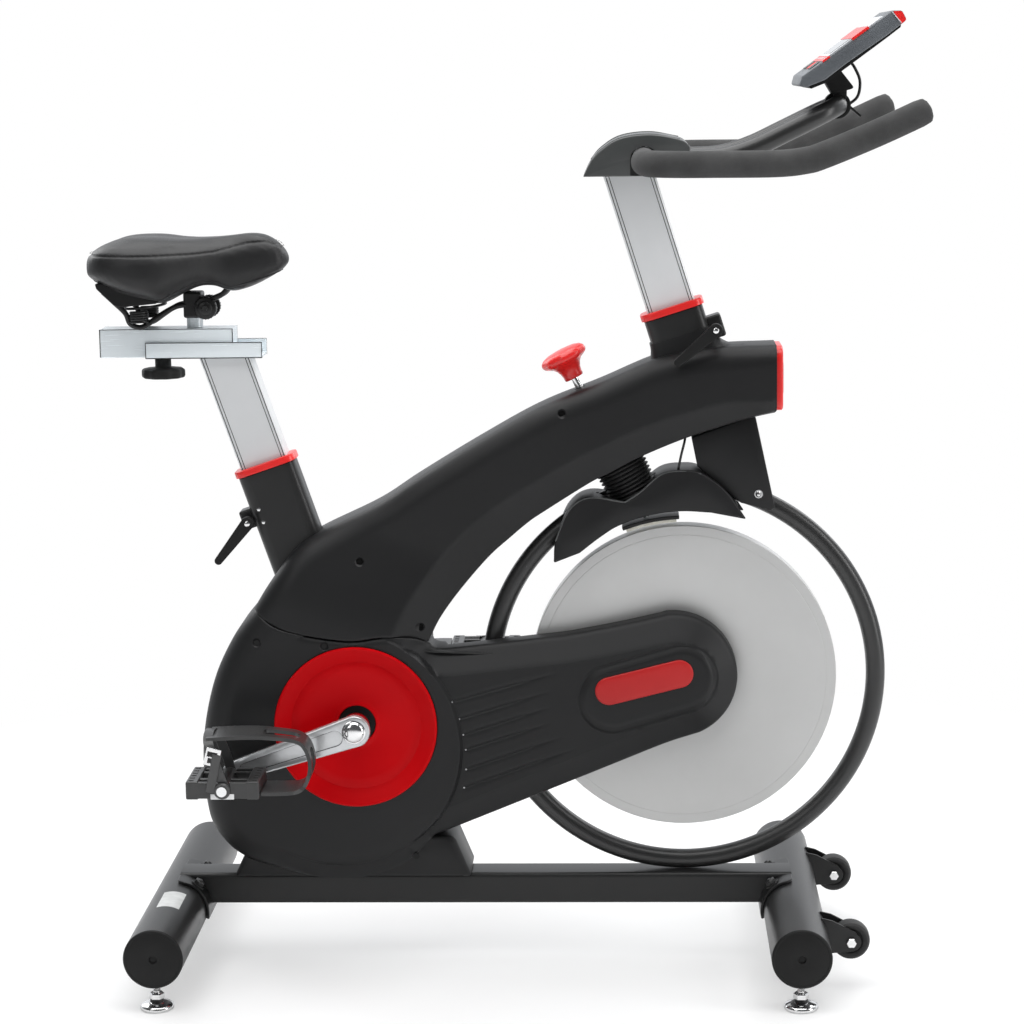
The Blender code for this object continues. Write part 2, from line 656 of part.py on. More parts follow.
def build_small_covers():
    red = material("red_gloss_plastic", RED, 0.25)
    for name, side in (("right", -1), ("left", 1)):
        disc = [(CRANK_DISC_R, 0.0785), (CRANK_DISC_R, 0.0740), (0.085, 0.0640),
                (0.026, 0.0560), (0.026, 0.0580), (0.084, 0.0662),
                (CRANK_DISC_R - 0.004, 0.0785)]
        turned("crank_disc_" + name, red, disc, (CRANK.x, 0, CRANK.z), (0, side, 0), 32, True)
    cap = box("front_end_cap", red, (0.3665, 0, 0.774), (0.008, 0.088, 0.083), edge=0.003)
    for name, collar, tilt in (("seat_collar", SEAT_COLLAR, SEAT_TILT),
                               ("handlebar_collar", HEAD_COLLAR, HEAD_TILT)):
        turn = post_turn(tilt)
        middle = along(collar, tilt, COLLAR_HEIGHT / 2)
        ring_box = box(name, red, middle, (SLEEVE_DEPTH + 0.006, SLEEVE_WIDTH + 0.006,
                                           COLLAR_HEIGHT), turn, edge=0.002)
        hole = box_bm(middle, (POST_DEPTH + 2 * GAP, POST_WIDTH + 2 * GAP, 0.03), turn)
        cut(ring_box, cutter_of(hole))
    plastic = material("base_shroud_plastic", BLACK_PLASTIC, 0.5)
    outline = [(-0.355, BASE_TOP + GAP), (-0.338, 0.1500), (-0.300, 0.1710), (-0.061, 0.1710),
               (-0.038, BASE_TOP + GAP)]
    shroud = as_mesh(plate("base_shroud", plastic, outline, 0, 0.044, origin=(0, 0, 0)))
    inner = [(-0.345, 0.10), (-0.330, 0.1480), (-0.298, 0.1680), (-0.064, 0.1680), (-0.046, 0.10)]
    cut(shroud, as_mesh(plate("shroud_inside", None, inner, 0, 0.0415)))
    cover_room = outline_of(smooth_path(BODY_REAR, 2), [(-0.05, 0.30), (-0.25, 0.35)])
    cover_room = inset(cover_room, [-0.0006] * len(cover_room))
    cut(shroud, as_mesh(plate("cover_room", None, cover_room, 0, 0.10)))
    return cap


# ---------------------------------------------------------------- drive
def build_belt():
    rubber = material("belt_rubber", (0.01, 0.01, 0.01), 0.8)
    gap = (AXLE - CRANK).length
    base = math.degrees(math.atan2(AXLE.z - CRANK.z, AXLE.x - CRANK.x))
    lean = math.degrees(math.acos((CRANK_PULLEY_R - FLYWHEEL_PULLEY_R) / gap))
    big = (CRANK.x, CRANK.z)
    small = (AXLE.x, AXLE.z)

    def loop(extra):
        return (arc(big, CRANK_PULLEY_R + extra, base + lean, base + 360 - lean, 20)
                + arc(small, FLYWHEEL_PULLEY_R + extra, base - lean, base + lean, 10))
    belt = as_mesh(plate("belt", rubber, loop(BELT_THICK), BELT_Y, BELT_WIDTH / 2,
                         origin=(0, BELT_Y, 0)))
    cut(belt, as_mesh(plate("belt_inside", None, loop(2 * GAP), BELT_Y, 0.02)))
    return belt


def build_flywheel():
    steel = material("turned_steel", (0.62, 0.62, 0.62), 0.3, 1.0)
    half = FLYWHEEL_HALF
    web = 0.011
    profile = [(FLYWHEEL_R, half), (FLYWHEEL_R, -half), (0.172, -half), (0.168, -web),
               (0.0064, -web), (0.0064, web), (0.168, web), (0.172, half)]
    turned("flywheel", steel, profile, AXLE, (0, 1, 0), 48, True)
    axle_steel = material("axle_steel", (0.5, 0.5, 0.5), 0.35, 1.0)
    rod("flywheel_axle", axle_steel, (AXLE.x, -0.062, AXLE.z), (AXLE.x, 0.050, AXLE.z), 0.006,
        16, origin=AXLE)
    alloy = material("pulley_alloy", (0.4, 0.4, 0.42), 0.4, 1.0)
    ring("flywheel_pulley", alloy, AXLE, (0, -1, 0), FLYWHEEL_PULLEY_R, 0.0063, 0.0405, 0.0555,
         24)


def build_cranks():
    steel = material("crank_steel", (0.45, 0.45, 0.46), 0.35, 1.0)
    rod("crank_axle", steel, (CRANK.x, -0.100, CRANK.z), (CRANK.x, 0.100, CRANK.z), 0.010, 20,
        origin=CRANK)
    alloy = material("crank_pulley_alloy", (0.3, 0.3, 0.31), 0.5, 0.8)
    profile = [(CRANK_PULLEY_R, 0.0545), (CRANK_PULLEY_R, 0.0415), (0.092, 0.0460),
               (0.024, 0.0460), (0.0103, 0.0400), (0.0103, 0.0540), (0.024, 0.0500),
               (0.092, 0.0500)]
    turned("crank_pulley", alloy, profile, CRANK, (0, -1, 0), 30, True)
    chrome = material("polished_crank", (0.72, 0.72, 0.73), 0.18, 1.0)
    for name, side, angle in (("right", -1, CRANK_ANGLE), ("left", 1, CRANK_ANGLE + math.pi)):
        build_crank_arm(name, side, angle, chrome)
        build_pedal(name, side, pedal_axis(angle))


def pedal_axis(angle):
    return Vector((CRANK.x + CRANK_LENGTH * math.cos(angle), 0,
                   CRANK.z + CRANK_LENGTH * math.sin(angle)))


def build_crank_arm(name, side, angle, mat):
    end = pedal_axis(angle)
    degrees = math.degrees(angle)
    outline = outline_of(arc((end.x, end.z), 0.013, degrees - 80, degrees + 80, 7),
                         arc((CRANK.x, CRANK.z), 0.021, degrees + 100, degrees + 260, 11))
    arm = as_mesh(plate("crank_arm_" + name, mat, outline, side * 0.0985, 0.0070,
                        origin=(CRANK.x, side * 0.0985, CRANK.z), edge=0.002))
    cut(arm, cutter_of(side_cylinder((CRANK.x, CRANK.z), 0.0103, side * 0.085,
                                     side * 0.1003, 20)))
    spindle = rod_bm((end.x, side * 0.100, end.z), (end.x, side * 0.200, end.z), 0.0065, 14)
    weld(arm, cutter_of(spindle))
    return arm


def build_pedal(name, side, axis):
    """One pedal: the right one lies level with its cage on top, the left one hangs upside down."""
    plastic = material("pedal_plastic_" + name, (0.02, 0.02, 0.02), 0.55)
    y = side * 0.1545
    body = box("pedal_" + name, plastic, (axis.x, y, axis.z), (0.094, 0.078, 0.024),
               origin=(axis.x, y, axis.z), edge=0.004)
    cut(body, cutter_of(side_cylinder((axis.x, axis.z), 0.0068, side * 0.10, side * 0.2005, 16)))
    outer = [(0.0475, -0.010), (0.096, -0.008), (0.109, 0.004), (0.114, 0.028), (0.107, 0.053),
             (0.094, 0.063), (0.040, 0.069), (-0.022, 0.067), (-0.034, 0.058), (-0.034, 0.0125)]
    inner = [(-0.028, 0.0125), (-0.028, 0.055), (-0.019, 0.061), (0.040, 0.063), (0.091, 0.057),
             (0.102, 0.048), (0.108, 0.028), (0.103, 0.008), (0.093, -0.002), (0.0475, -0.004)]
    band = [(axis.x - side * x, axis.z - side * z) for x, z in outer + inner]
    plate("toe_cage_" + name, plastic, band, y, 0.030, origin=(axis.x, y, axis.z))


# ---------------------------------------------------------------- brake
def build_brake():
    chrome = material("brake_rod_chrome", (0.75, 0.75, 0.76), 0.15, 1.0)
    pad_end = 0.2408
    rod_obj = rod("brake_rod", chrome, brake_point(0.0245), brake_point(pad_end), BRAKE_ROD_R, 12,
                  origin=BRAKE_TOP)
    centre = (AXLE.x, AXLE.z)
    carrier = outline_of(arc(centre, 0.2135, 91, 112, 8), arc(centre, 0.2085, 112, 91, 8))
    weld(rod_obj, as_mesh(plate("pad_carrier", None, carrier, 0, 0.018)))
    felt = material("brake_felt", (0.10, 0.10, 0.10), 0.95)
    pad = outline_of(arc(centre, 0.2082, 92, 111, 8), arc(centre, FLYWHEEL_R + 0.0042, 111, 92, 8))
    plate("brake_pad", felt, pad, 0, 0.014, origin=(AXLE.x, 0, AXLE.z))
    red = material("brake_knob_red", RED, 0.3)
    profile = [(0.0, 0.0085), (0.020, 0.0065), (0.0315, 0.0005), (0.0300, -0.0075),
               (0.018, -0.0165), (0.0125, -0.0305), (0.0110, -0.0325), (0.0053, -0.0325),
               (0.0053, -0.0240), (0.0, -0.0240)]
    turned("brake_knob", red, profile, BRAKE_TOP, -BRAKE_DOWN, 18)
    rubber = material("bellows_rubber", (0.012, 0.012, 0.012), 0.7)
    folds = 4
    start = 0.1605
    length = 0.0440
    outer = []
    for i in range(folds):
        step = length / folds
        outer.append((0.0355 - 0.0006 * i, -i * step))
        outer.append((0.0290 - 0.0006 * i, -(i + 0.5) * step))
    outer.append((0.0325, -length))
    inside = [(0.018, -length), (0.018, 0.0)]
    bellows = turned("brake_bellows", rubber, outer + inside, brake_point(start), -BRAKE_DOWN,
                     20, True)
    bellows = as_mesh(bellows)
    cut(bellows, hoop_channel(0.0010))
    build_brake_cover()


def build_brake_cover():
    plastic = material("brake_cover_plastic", BLACK_PLASTIC, 0.5)
    top = [(0.074, 0.535), (0.077, 0.566), (0.095, 0.606), (0.122, 0.622), (0.167, 0.616),
           (0.187, 0.629), (0.213, 0.651), (0.239, 0.656), (0.265, 0.6525), (0.298, 0.628),
           (0.324, 0.591)]
    low = [(0.278, 0.600), (0.239, 0.602), (0.200, 0.597), (0.160, 0.584), (0.134, 0.568),
           (0.108, 0.548)]
    outline = outline_of(top, low)
    cover = as_mesh(plate("brake_cover", plastic, outline, 0, 0.038, origin=(0, 0, 0)))
    cut(cover, hoop_channel(0.0020))
    room = outline_of(arc((AXLE.x, AXLE.z), 0.2385, 60, 140, 16),
                      arc((AXLE.x, AXLE.z), 0.190, 140, 60, 16))
    cut(cover, as_mesh(plate("pad_room", None, room, 0, 0.033)))
    cut(cover, cutter_of(rod_bm(brake_point(0.19), brake_point(0.235), BRAKE_HOLE_R, 12)))
    cut(cover, cutter_of(rod_bm(brake_point(0.10), brake_point(0.2065), 0.0362, 28)))
    cut(cover, as_mesh(plate("strut_room", None,
                             [(0.255, 0.80), (0.255, 0.6645), (0.3145, 0.6100), (0.36, 0.58),
                              (0.40, 0.58), (0.40, 0.80)], 0, 0.0268)))


# ---------------------------------------------------------------- seat
def build_seat():
    alloy = material("satin_post", SATIN, 0.35, 0.9)
    turn = post_turn(SEAT_TILT)
    top = 0.1545
    bottom = -0.170
    middle = along(SEAT_COLLAR, SEAT_TILT, (top + bottom) / 2)
    post = box("seat_post", alloy, middle, (POST_DEPTH, POST_WIDTH, top - bottom), turn,
               edge=0.003)
    channel_low = 0.805
    x0 = -0.450
    x1 = -0.296
    level = cutter_of(box_bm(((x0 + x1) / 2, 0, channel_low + 0.05), (0.3, 0.2, 0.1)))
    cut(post, level)
    channel = mesh_object("channel", box_bm(((x0 + x1) / 2, 0, channel_low + 0.0102),
                                            (x1 - x0, 0.056, 0.0206)), None, collection=cutters)
    cut(channel, cutter_of(box_bm(((x0 + x1) / 2, 0, channel_low + 0.0155),
                                  (0.2, 0.0486, 0.025))))
    weld(post, channel)
    stem_x = -0.4335
    cut(post, cutter_of(rod_bm((stem_x, 0, 0.79), (stem_x, 0, 0.815), 0.0058, 12)))
    bright = material("bright_carriage", (0.68, 0.68, 0.69), 0.2, 1.0)
    box("seat_carriage", bright, (-0.425, 0, 0.8260), (0.174, 0.048, 0.0350), edge=0.002)
    black = material("knob_plastic", BLACK_PLASTIC, 0.45)
    knob = [(0.0, 0.8078), (0.0054, 0.8078), (0.0054, 0.8046), (0.0105, 0.8046), (0.0105, 0.791),
            (0.0265, 0.790), (0.0285, 0.787), (0.0285, 0.781), (0.0265, 0.778), (0.0, 0.778)]
    knob = [(r, z - 0.79) for r, z in knob]
    turned("seat_knob", black, knob, (stem_x, 0, 0.79), (0, 0, 1), 16)
    build_saddle()
    lever("seat_lever", along(SEAT_COLLAR, SEAT_TILT, -0.0575, -SLEEVE_DEPTH / 2 - 0.006),
          math.radians(231.5), -0.0315)


def build_saddle():
    steel = material("saddle_clamp_steel", (0.03, 0.03, 0.03), 0.4, 0.6)
    clamp = box("saddle_clamp", steel, (-0.384, 0, 0.8725), (0.042, 0.034, 0.033), edge=0.003)
    weld(clamp, cutter_of(rod_bm((-0.393, 0, 0.8440), (-0.393, 0, 0.870), 0.0105, 20)))
    right = [(-0.500, 0.046, 0.8905), (-0.478, 0.045, 0.872), (-0.452, 0.036, 0.858),
             (-0.425, 0.024, 0.862), (-0.400, 0.0215, 0.8735), (-0.365, 0.0215, 0.8735),
             (-0.330, 0.017, 0.876), (-0.302, 0.009, 0.882)]
    left = [(x, -y, z) for x, y, z in reversed(right)]
    wire = material("rail_wire", (0.03, 0.03, 0.03), 0.3, 0.8)
    tube("saddle_rails", wire, smooth_path(right + [(-0.296, 0.0, 0.8835)] + left, 1), 0.0035,
         (-0.384, 0, 0.8735), 1)
    leather = material("saddle_leather", (0.02, 0.02, 0.02), 0.45)
    stations = [(-0.5335, 0.020, 0.936, 0.915), (-0.526, 0.062, 0.948, 0.903),
                (-0.508, 0.086, 0.956, 0.8965), (-0.470, 0.100, 0.9625, 0.8965),
                (-0.430, 0.097, 0.9615, 0.8955), (-0.393, 0.080, 0.9600, 0.8945),
                (-0.355, 0.056, 0.9605, 0.8930), (-0.315, 0.040, 0.9625, 0.8940),
                (-0.285, 0.035, 0.9600, 0.9000), (-0.268, 0.026, 0.9530, 0.9080),
                (-0.2612, 0.010, 0.940, 0.920)]
    loops = []
    for x, half, high, low in stations:
        middle = (high + low) / 2
        rise = (high - low) / 2
        loop = []
        for i in range(14):
            a = 2 * math.pi * i / 14
            c = math.copysign(abs(math.cos(a)) ** 0.7, math.cos(a))
            s = math.copysign(abs(math.sin(a)) ** 0.7, math.sin(a))
            loop.append((x, half * c, middle + rise * s))
        loops.append(loop)
    loft("saddle", leather, loops, origin=(-0.40, 0, 0.92))


def lever(name, pivot, angle, y):
    """A quick clamp lever to the right of its block, on a shaft across the bike."""
    plastic = material(name + "_plastic", BLACK_PLASTIC, 0.4)
    length = 0.063
    end = pivot + Vector((math.cos(angle), 0, math.sin(angle))) * length
    degrees = math.degrees(angle)
    outline = outline_of(arc((end.x, end.z), 0.0045, degrees - 80, degrees + 80, 5),
                         arc((pivot.x, pivot.z), 0.0085, degrees + 100, degrees + 260, 9))
    arm = as_mesh(plate(name, plastic, outline, y, 0.0055, origin=(pivot.x, y, pivot.z),
                        edge=0.0015))
    weld(arm, cutter_of(side_cylinder((pivot.x, pivot.z), 0.004, BLOCK_HALF_Y, y, 12)))
    return arm


# ---------------------------------------------------------------- handlebar
def bar_path(side):
    """Centreline of one side of the handlebar, from the middle to the tip."""
    points = [(0.194, 0.0, BAR_Z), (0.194, side * 0.080, BAR_Z), (0.194, side * 0.150, BAR_Z),
              (0.202, side * 0.195, BAR_Z), (0.230, side * 0.222, BAR_Z),
              (0.275, side * 0.231, BAR_Z), (0.350, side * 0.233, BAR_Z),
              (0.385, side * 0.2335, BAR_Z + 0.0033), (0.4073, side * 0.234, BAR_Z + 0.0096),
              (0.469, side * 0.234, BAR_Z + 0.0343), (0.5275, side * 0.234, BAR_Z + 0.0605)]
    return smooth_path(points, 2)


def build_handlebar():
    alloy = material("satin_post_front", SATIN, 0.35, 0.9)
    turn = post_turn(HEAD_TILT)
    top = 0.175
    bottom = -0.098
    middle = along(HEAD_COLLAR, HEAD_TILT, (top + bottom) / 2)
    post = box("handlebar_post", alloy, middle, (POST_DEPTH, POST_WIDTH, top - bottom), turn,
               edge=0.003)
    plate_low = 1.0235
    cut(post, cutter_of(box_bm((0.18, 0, plate_low + 0.05), (0.2, 0.2, 0.1))))
    weld(post, cutter_of(box_bm((0.204, 0, plate_low + 0.0050), (0.090, 0.070, 0.0104))))
    steel = material("handlebar_steel", BLACK_STEEL, 0.3, 0.6)
    core = list(reversed(bar_path(-1)))[1:] + bar_path(1)[1:-1]
    bar = as_mesh(tube("handlebar", steel, core, BAR_R, (0.194, 0, BAR_Z), 1))
    loop = [(0.194, 0.050, 1.054), (0.240, 0.050, 1.0545), (0.290, 0.050, 1.0560),
            (0.331, 0.050, 1.0675), (0.3724, 0.050, 1.0865), (0.416, 0.0465, 1.1075),
            (0.4365, 0.024, 1.1170), (0.440, 0.0, 1.1185)]
    loop = loop + [(x, -y, z) for x, y, z in reversed(loop[:-1])]
    weld(bar, as_mesh(tube("aero_loop", None, smooth_path(loop, 2), 0.0125, resolution=1)))
    block = box_bm((0.200, 0, 1.0485), (0.060, 0.062, 0.0288))
    weld(bar, cutter_of(block))
    bracket = box_bm((0.437, 0, 1.139), (0.026, 0.040, 0.0260))
    weld(bar, cutter_of(bracket))
    foam = material("grip_foam", (0.02, 0.02, 0.02), 0.9)
    for name, side in (("right", -1), ("left", 1)):
        path = [p for p in bar_path(side) if abs(p.y) > 0.066]
        grip = tube("grip_" + name, foam, path, GRIP_R, (0.194, 0, BAR_Z), 1, caps=False)
        grip = as_mesh(grip)
        wall = grip.modifiers.new("foam", "SOLIDIFY")
        wall.thickness = GRIP_R - BAR_R - GAP
        wall.offset = -1
    build_handlebar_cover()
    build_console()
    lever("handlebar_lever", along(HEAD_COLLAR, HEAD_TILT, -0.034, SLEEVE_DEPTH / 2 + 0.0065),
          math.radians(220), -0.0590)


def build_handlebar_cover():
    plastic = material("hood_plastic", BLACK_PLASTIC, 0.45)
    top = [(0.117, 1.0345), (0.126, 1.052), (0.139, 1.067), (0.164, 1.082), (0.202, 1.0865),
           (0.239, 1.080), (0.252, 1.0715)]
    outline = outline_of(top, [(0.252, 1.0345)])
    hood = as_mesh(plate("handlebar_cover", plastic, outline, 0, 0.069, origin=(0, 0, 0)))
    round_edges(hood, 0.010, 2, 50)
    inner = [(0.134, 1.02), (0.150, 1.068), (0.170, 1.0775), (0.232, 1.0775), (0.262, 1.0705),
             (0.262, 1.02)]
    cut(hood, as_mesh(plate("hood_inside", None, inner, 0, 0.0645)))
    cut(hood, cutter_of(rod_bm((0.194, -0.1, BAR_Z), (0.194, 0.1, BAR_Z), GRIP_R + 0.001, 20)))
    cut(hood, cutter_of(box_bm((0.194, 0, 1.035), (2 * GRIP_R + 0.002, 0.2, 0.04))))


def build_console():
    shell = material("console_plastic", (0.10, 0.11, 0.12), 0.4)
    low_end = Vector((0.390, 0, 1.1560))
    high_end = Vector((0.501, 0, 1.2350))
    outline = [(0.3865, 1.1435), (low_end.x, low_end.z), (high_end.x, high_end.z),
               (0.513, 1.2350), (0.5195, 1.2235), (0.495, 1.2050), (0.445, 1.1710),
               (0.419, 1.1515), (0.396, 1.1425)]
    console = as_mesh(plate("console", shell, outline, 0, 0.085, origin=(0.45, 0, 1.19)))
    round_edges(console, 0.003)
    neck = box_bm((0.4380, 0, 1.1650), (0.020, 0.030, 0.0250))
    weld(console, cutter_of(neck))
    direction = (high_end - low_end).normalized()
    normal = Vector((-direction.z, 0, direction.x))
    key = low_end + direction * 0.022
    pocket = rod_bm(key - normal * 0.004, key + normal * 0.01, 0.0085, 20)
    cut(console, cutter_of(pocket))
    red = material("console_button_red", RED, 0.35)
    rod("console_button", red, key - normal * 0.0020, key + normal * 0.0015, 0.0080, 20,
        origin=key)
    wire = material("wire_rubber", (0.01, 0.01, 0.01), 0.6)
    lead = [(0.4560, 0.012, 1.1755), (0.4640, 0.012, 1.1640), (0.4700, 0.012, 1.1480),
            (0.4670, 0.012, 1.1290), (0.4535, 0.012, 1.1175)]
    tube("console_wire", wire, smooth_path(lead, 3), 0.002, resolution=1)


# ---------------------------------------------------------------- wheels
def build_wheels():
    rubber = material("wheel_rubber", (0.015, 0.015, 0.015), 0.6)
    for name, side in (("right", -1), ("left", 1)):
        pin = 0.0185
        profile = [(0.0, pin), (0.004, pin), (0.004, 0.0115), (WHEEL_R - 0.002, 0.0115),
                   (WHEEL_R, 0.009), (WHEEL_R, -0.009), (WHEEL_R - 0.002, -0.0115),
                   (0.004, -0.0115), (0.004, -pin), (0.0, -pin)]
        turned("transport_wheel_" + name, rubber, profile,
               (WHEEL.x, side * WHEEL.y, WHEEL.z), (0, 1, 0), 20)


build_base()
build_hoop()
build_seat_tube()
build_main_beam()
build_front_strut()
build_upper_shells()
build_drive_covers()
build_small_covers()
build_belt()
build_flywheel()
build_cranks()
build_brake()
build_seat()
build_handlebar()
build_wheels()
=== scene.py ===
"""Looks of the indoor cycling bike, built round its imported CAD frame.

Metres, +Z up, +X towards the front, the drive side at -Y.
"""

import math

import bmesh
import bpy
import numpy as np
from mathutils import Matrix, Vector
from mathutils.bvhtree import BVHTree
from mathutils.geometry import delaunay_2d_cdt
from mathutils.kdtree import KDTree


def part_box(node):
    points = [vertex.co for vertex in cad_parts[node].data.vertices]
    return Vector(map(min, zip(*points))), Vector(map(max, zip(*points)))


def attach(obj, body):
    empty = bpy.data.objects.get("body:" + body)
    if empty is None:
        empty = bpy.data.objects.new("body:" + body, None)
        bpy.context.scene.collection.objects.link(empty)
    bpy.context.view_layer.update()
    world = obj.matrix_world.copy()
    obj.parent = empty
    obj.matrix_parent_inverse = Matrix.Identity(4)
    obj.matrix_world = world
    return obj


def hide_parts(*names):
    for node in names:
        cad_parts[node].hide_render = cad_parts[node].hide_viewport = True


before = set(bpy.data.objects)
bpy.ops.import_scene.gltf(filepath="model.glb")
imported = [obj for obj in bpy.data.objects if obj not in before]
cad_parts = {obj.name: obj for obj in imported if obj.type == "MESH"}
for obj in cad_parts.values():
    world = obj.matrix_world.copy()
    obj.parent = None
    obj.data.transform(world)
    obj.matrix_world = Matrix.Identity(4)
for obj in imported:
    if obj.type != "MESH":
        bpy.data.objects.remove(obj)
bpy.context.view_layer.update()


# ---------------------------------------------------------------- places taken from the frame
def centre_of(node):
    low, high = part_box(node)
    return (low + high) / 2


def on_middle(point):
    return Vector((point.x, 0, point.z))


SEAT_TILT = math.radians(18.7)
HEAD_TILT = math.radians(17.4)
COLLAR_HEIGHT = 0.009
AXLE = on_middle(centre_of("flywheel"))
CRANK = on_middle(centre_of("crank_pulley"))
FLYWHEEL_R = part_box("flywheel")[1].x - AXLE.x
HOOP_TUBE_R = 0.0125
HOOP_R = AXLE.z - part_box("frame_hoop")[0].z - HOOP_TUBE_R
GAP = 0.0003

POST = (0.064, 0.036)
SLEEVE = (0.078, 0.050)
SLEEVE_CORNER = 0.0165
SLEEVE_PLAY = 0.0005
SIDES = (("right", -1), ("left", 1))
BRAKE_TOP = Vector((0.088, 0, 0.802))
BRAKE_DOWN = Vector((0.454, 0, -0.891)).normalized()
BAR_Z = 1.0545


def up_of(tilt):
    return Vector((-math.sin(tilt), 0, math.cos(tilt)))


def front_of(tilt):
    return Vector((math.cos(tilt), 0, math.sin(tilt)))


SEAT_COLLAR = on_middle(centre_of("seat_collar")) - up_of(SEAT_TILT) * COLLAR_HEIGHT / 2
HEAD_COLLAR = on_middle(centre_of("handlebar_collar")) - up_of(HEAD_TILT) * COLLAR_HEIGHT / 2


def on_post(origin, tilt, distance, across=0.0, y=0.0):
    return origin + up_of(tilt) * distance + front_of(tilt) * across + Vector((0, y, 0))


# ---------------------------------------------------------------- camera, floor and lights
def build_camera():
    place = Vector((0.16784, -3.54714, 1.18035))
    heading = 0.041863
    pitch = 0.162893
    roll = 0.013543
    ahead = Vector((-math.sin(heading) * math.cos(pitch), math.cos(heading) * math.cos(pitch),
                    -math.sin(pitch)))
    level = Vector((math.cos(heading), math.sin(heading), 0))
    down = ahead.cross(level)
    right = level * math.cos(roll) + down * math.sin(roll)
    down = down * math.cos(roll) - level * math.sin(roll)
    data = bpy.data.cameras.new("camera")
    data.sensor_width = 36.0
    data.lens = 96.59
    data.clip_end = 60
    camera = bpy.data.objects.new("camera", data)
    camera.matrix_world = Matrix.Translation(place) @ Matrix(
        (right, -down, -ahead)).transposed().to_4x4()
    bpy.context.scene.collection.objects.link(camera)
    bpy.context.scene.camera = camera


def softbox(name, place, target, size, power, colour=(1, 1, 1)):
    data = bpy.data.lights.new(name, "AREA")
    data.shape = "RECTANGLE"
    data.size = size[0]
    data.size_y = size[1]
    data.energy = power
    data.color = colour
    light = bpy.data.objects.new(name, data)
    light.location = place
    aim = Vector(target) - Vector(place)
    light.rotation_euler = aim.to_track_quat("-Z", "Y").to_euler()
    bpy.context.scene.collection.objects.link(light)


def fade_out(paper, near, far):
    """Lets the floor pass into the white of the backdrop, so that no horizon shows."""
    tree = paper.node_tree
    place = node(tree, "ShaderNodeNewGeometry").outputs["Position"]
    away = node(tree, "ShaderNodeVectorMath", {0: place}, operation="LENGTH")
    share = span(tree, away.outputs["Value"], near, far, 0.45, 1.0)
    seen = node(tree, "ShaderNodeLightPath").outputs["Is Camera Ray"]
    share = node(tree, "ShaderNodeMath", {0: share, 1: seen}, operation="MULTIPLY").outputs[0]
    white = node(tree, "ShaderNodeEmission", {"Color": (1, 1, 1, 1), "Strength": 1.0})
    shader = tree.nodes["Principled BSDF"]
    mixed = node(tree, "ShaderNodeMixShader", {0: share, 1: shader.outputs[0],
                                               2: white.outputs[0]})
    tree.links.new(mixed.outputs[0], tree.nodes["Material Output"].inputs["Surface"])


def build_studio():
    world = bpy.data.worlds.new("studio")
    bpy.context.scene.world = world
    world.use_nodes = True
    tree = world.node_tree
    tree.nodes.clear()
    way = node(tree, "ShaderNodeTexCoord").outputs["Generated"]
    axes = node(tree, "ShaderNodeSeparateXYZ", {0: way})
    backdrop = span(tree, axes.outputs["Y"], -0.05, 0.60, 0.10, 1.0)
    room = node(tree, "ShaderNodeBackground", {"Color": (0.94, 0.965, 1.0, 1),
                                               "Strength": backdrop})
    seen = node(tree, "ShaderNodeBackground", {"Color": (1, 1, 1, 1), "Strength": 1.0})
    path = node(tree, "ShaderNodeLightPath")
    pick = node(tree, "ShaderNodeMixShader", {0: path.outputs["Is Camera Ray"],
                                              1: room.outputs[0], 2: seen.outputs[0]})
    node(tree, "ShaderNodeOutputWorld", {"Surface": pick.outputs[0]})
    bpy.context.scene.view_settings.view_transform = "Standard"
    floor_bm = bmesh.new()
    bmesh.ops.create_grid(floor_bm, x_segments=24, y_segments=24, size=9.0)
    for vert in floor_bm.verts:
        vert.co.z = -0.0004
    mesh = bpy.data.meshes.new("studio_floor")
    floor_bm.to_mesh(mesh)
    floor_bm.free()
    floor = bpy.data.objects.new("studio_floor", mesh)
    bpy.context.scene.collection.objects.link(floor)
    paper = surface("pale_floor", 0.86, 0.90, (0.85, 0.95), patch=1.5, grain=300, bump=0.02)
    fade_out(paper, 0.70, 1.60)
    mesh.materials.append(paper)
    softbox("overhead", (0.0, -0.2, 3.4), (0, 0, 0.4), (3.6, 3.6), 150)
    softbox("front_left", (-2.2, -3.4, 2.6), (-0.1, 0, 0.6), (1.5, 2.4), 20)
    softbox("right_strip", (2.9, -1.0, 1.5), (0.1, 0, 0.7), (0.8, 2.6), 38)
    softbox("rear_left", (-2.4, 2.2, 2.4), (0, 0, 0.6), (1.4, 2.2), 30)
    softbox("rear_right", (2.2, 2.6, 2.4), (0, 0, 0.6), (1.4, 2.2), 26)


# ---------------------------------------------------------------- materials
def node(tree, kind, inputs=None, **settings):
    made = tree.nodes.new(kind)
    for key, value in settings.items():
        setattr(made, key, value)
    for key, value in (inputs or {}).items():
        socket = made.inputs[key]
        if isinstance(value, bpy.types.NodeSocket):
            tree.links.new(value, socket)
        else:
            socket.default_value = value
    return made


def mix_colour(tree, share, first, second):
    """A mix of two colours; a number is a grey."""
    mixed = node(tree, "ShaderNodeMix", {0: share}, data_type="RGBA")
    for index, colour in ((6, first), (7, second)):
        if isinstance(colour, bpy.types.NodeSocket):
            tree.links.new(colour, mixed.inputs[index])
        elif isinstance(colour, tuple):
            mixed.inputs[index].default_value = (*colour, 1.0)
        else:
            mixed.inputs[index].default_value = (colour, colour, colour, 1.0)
    return mixed.outputs[2]


def span(tree, value, low, high, to_low, to_high):
    return node(tree, "ShaderNodeMapRange", {"Value": value, "From Min": low, "From Max": high,
                                             "To Min": to_low, "To Max": to_high}).outputs[0]


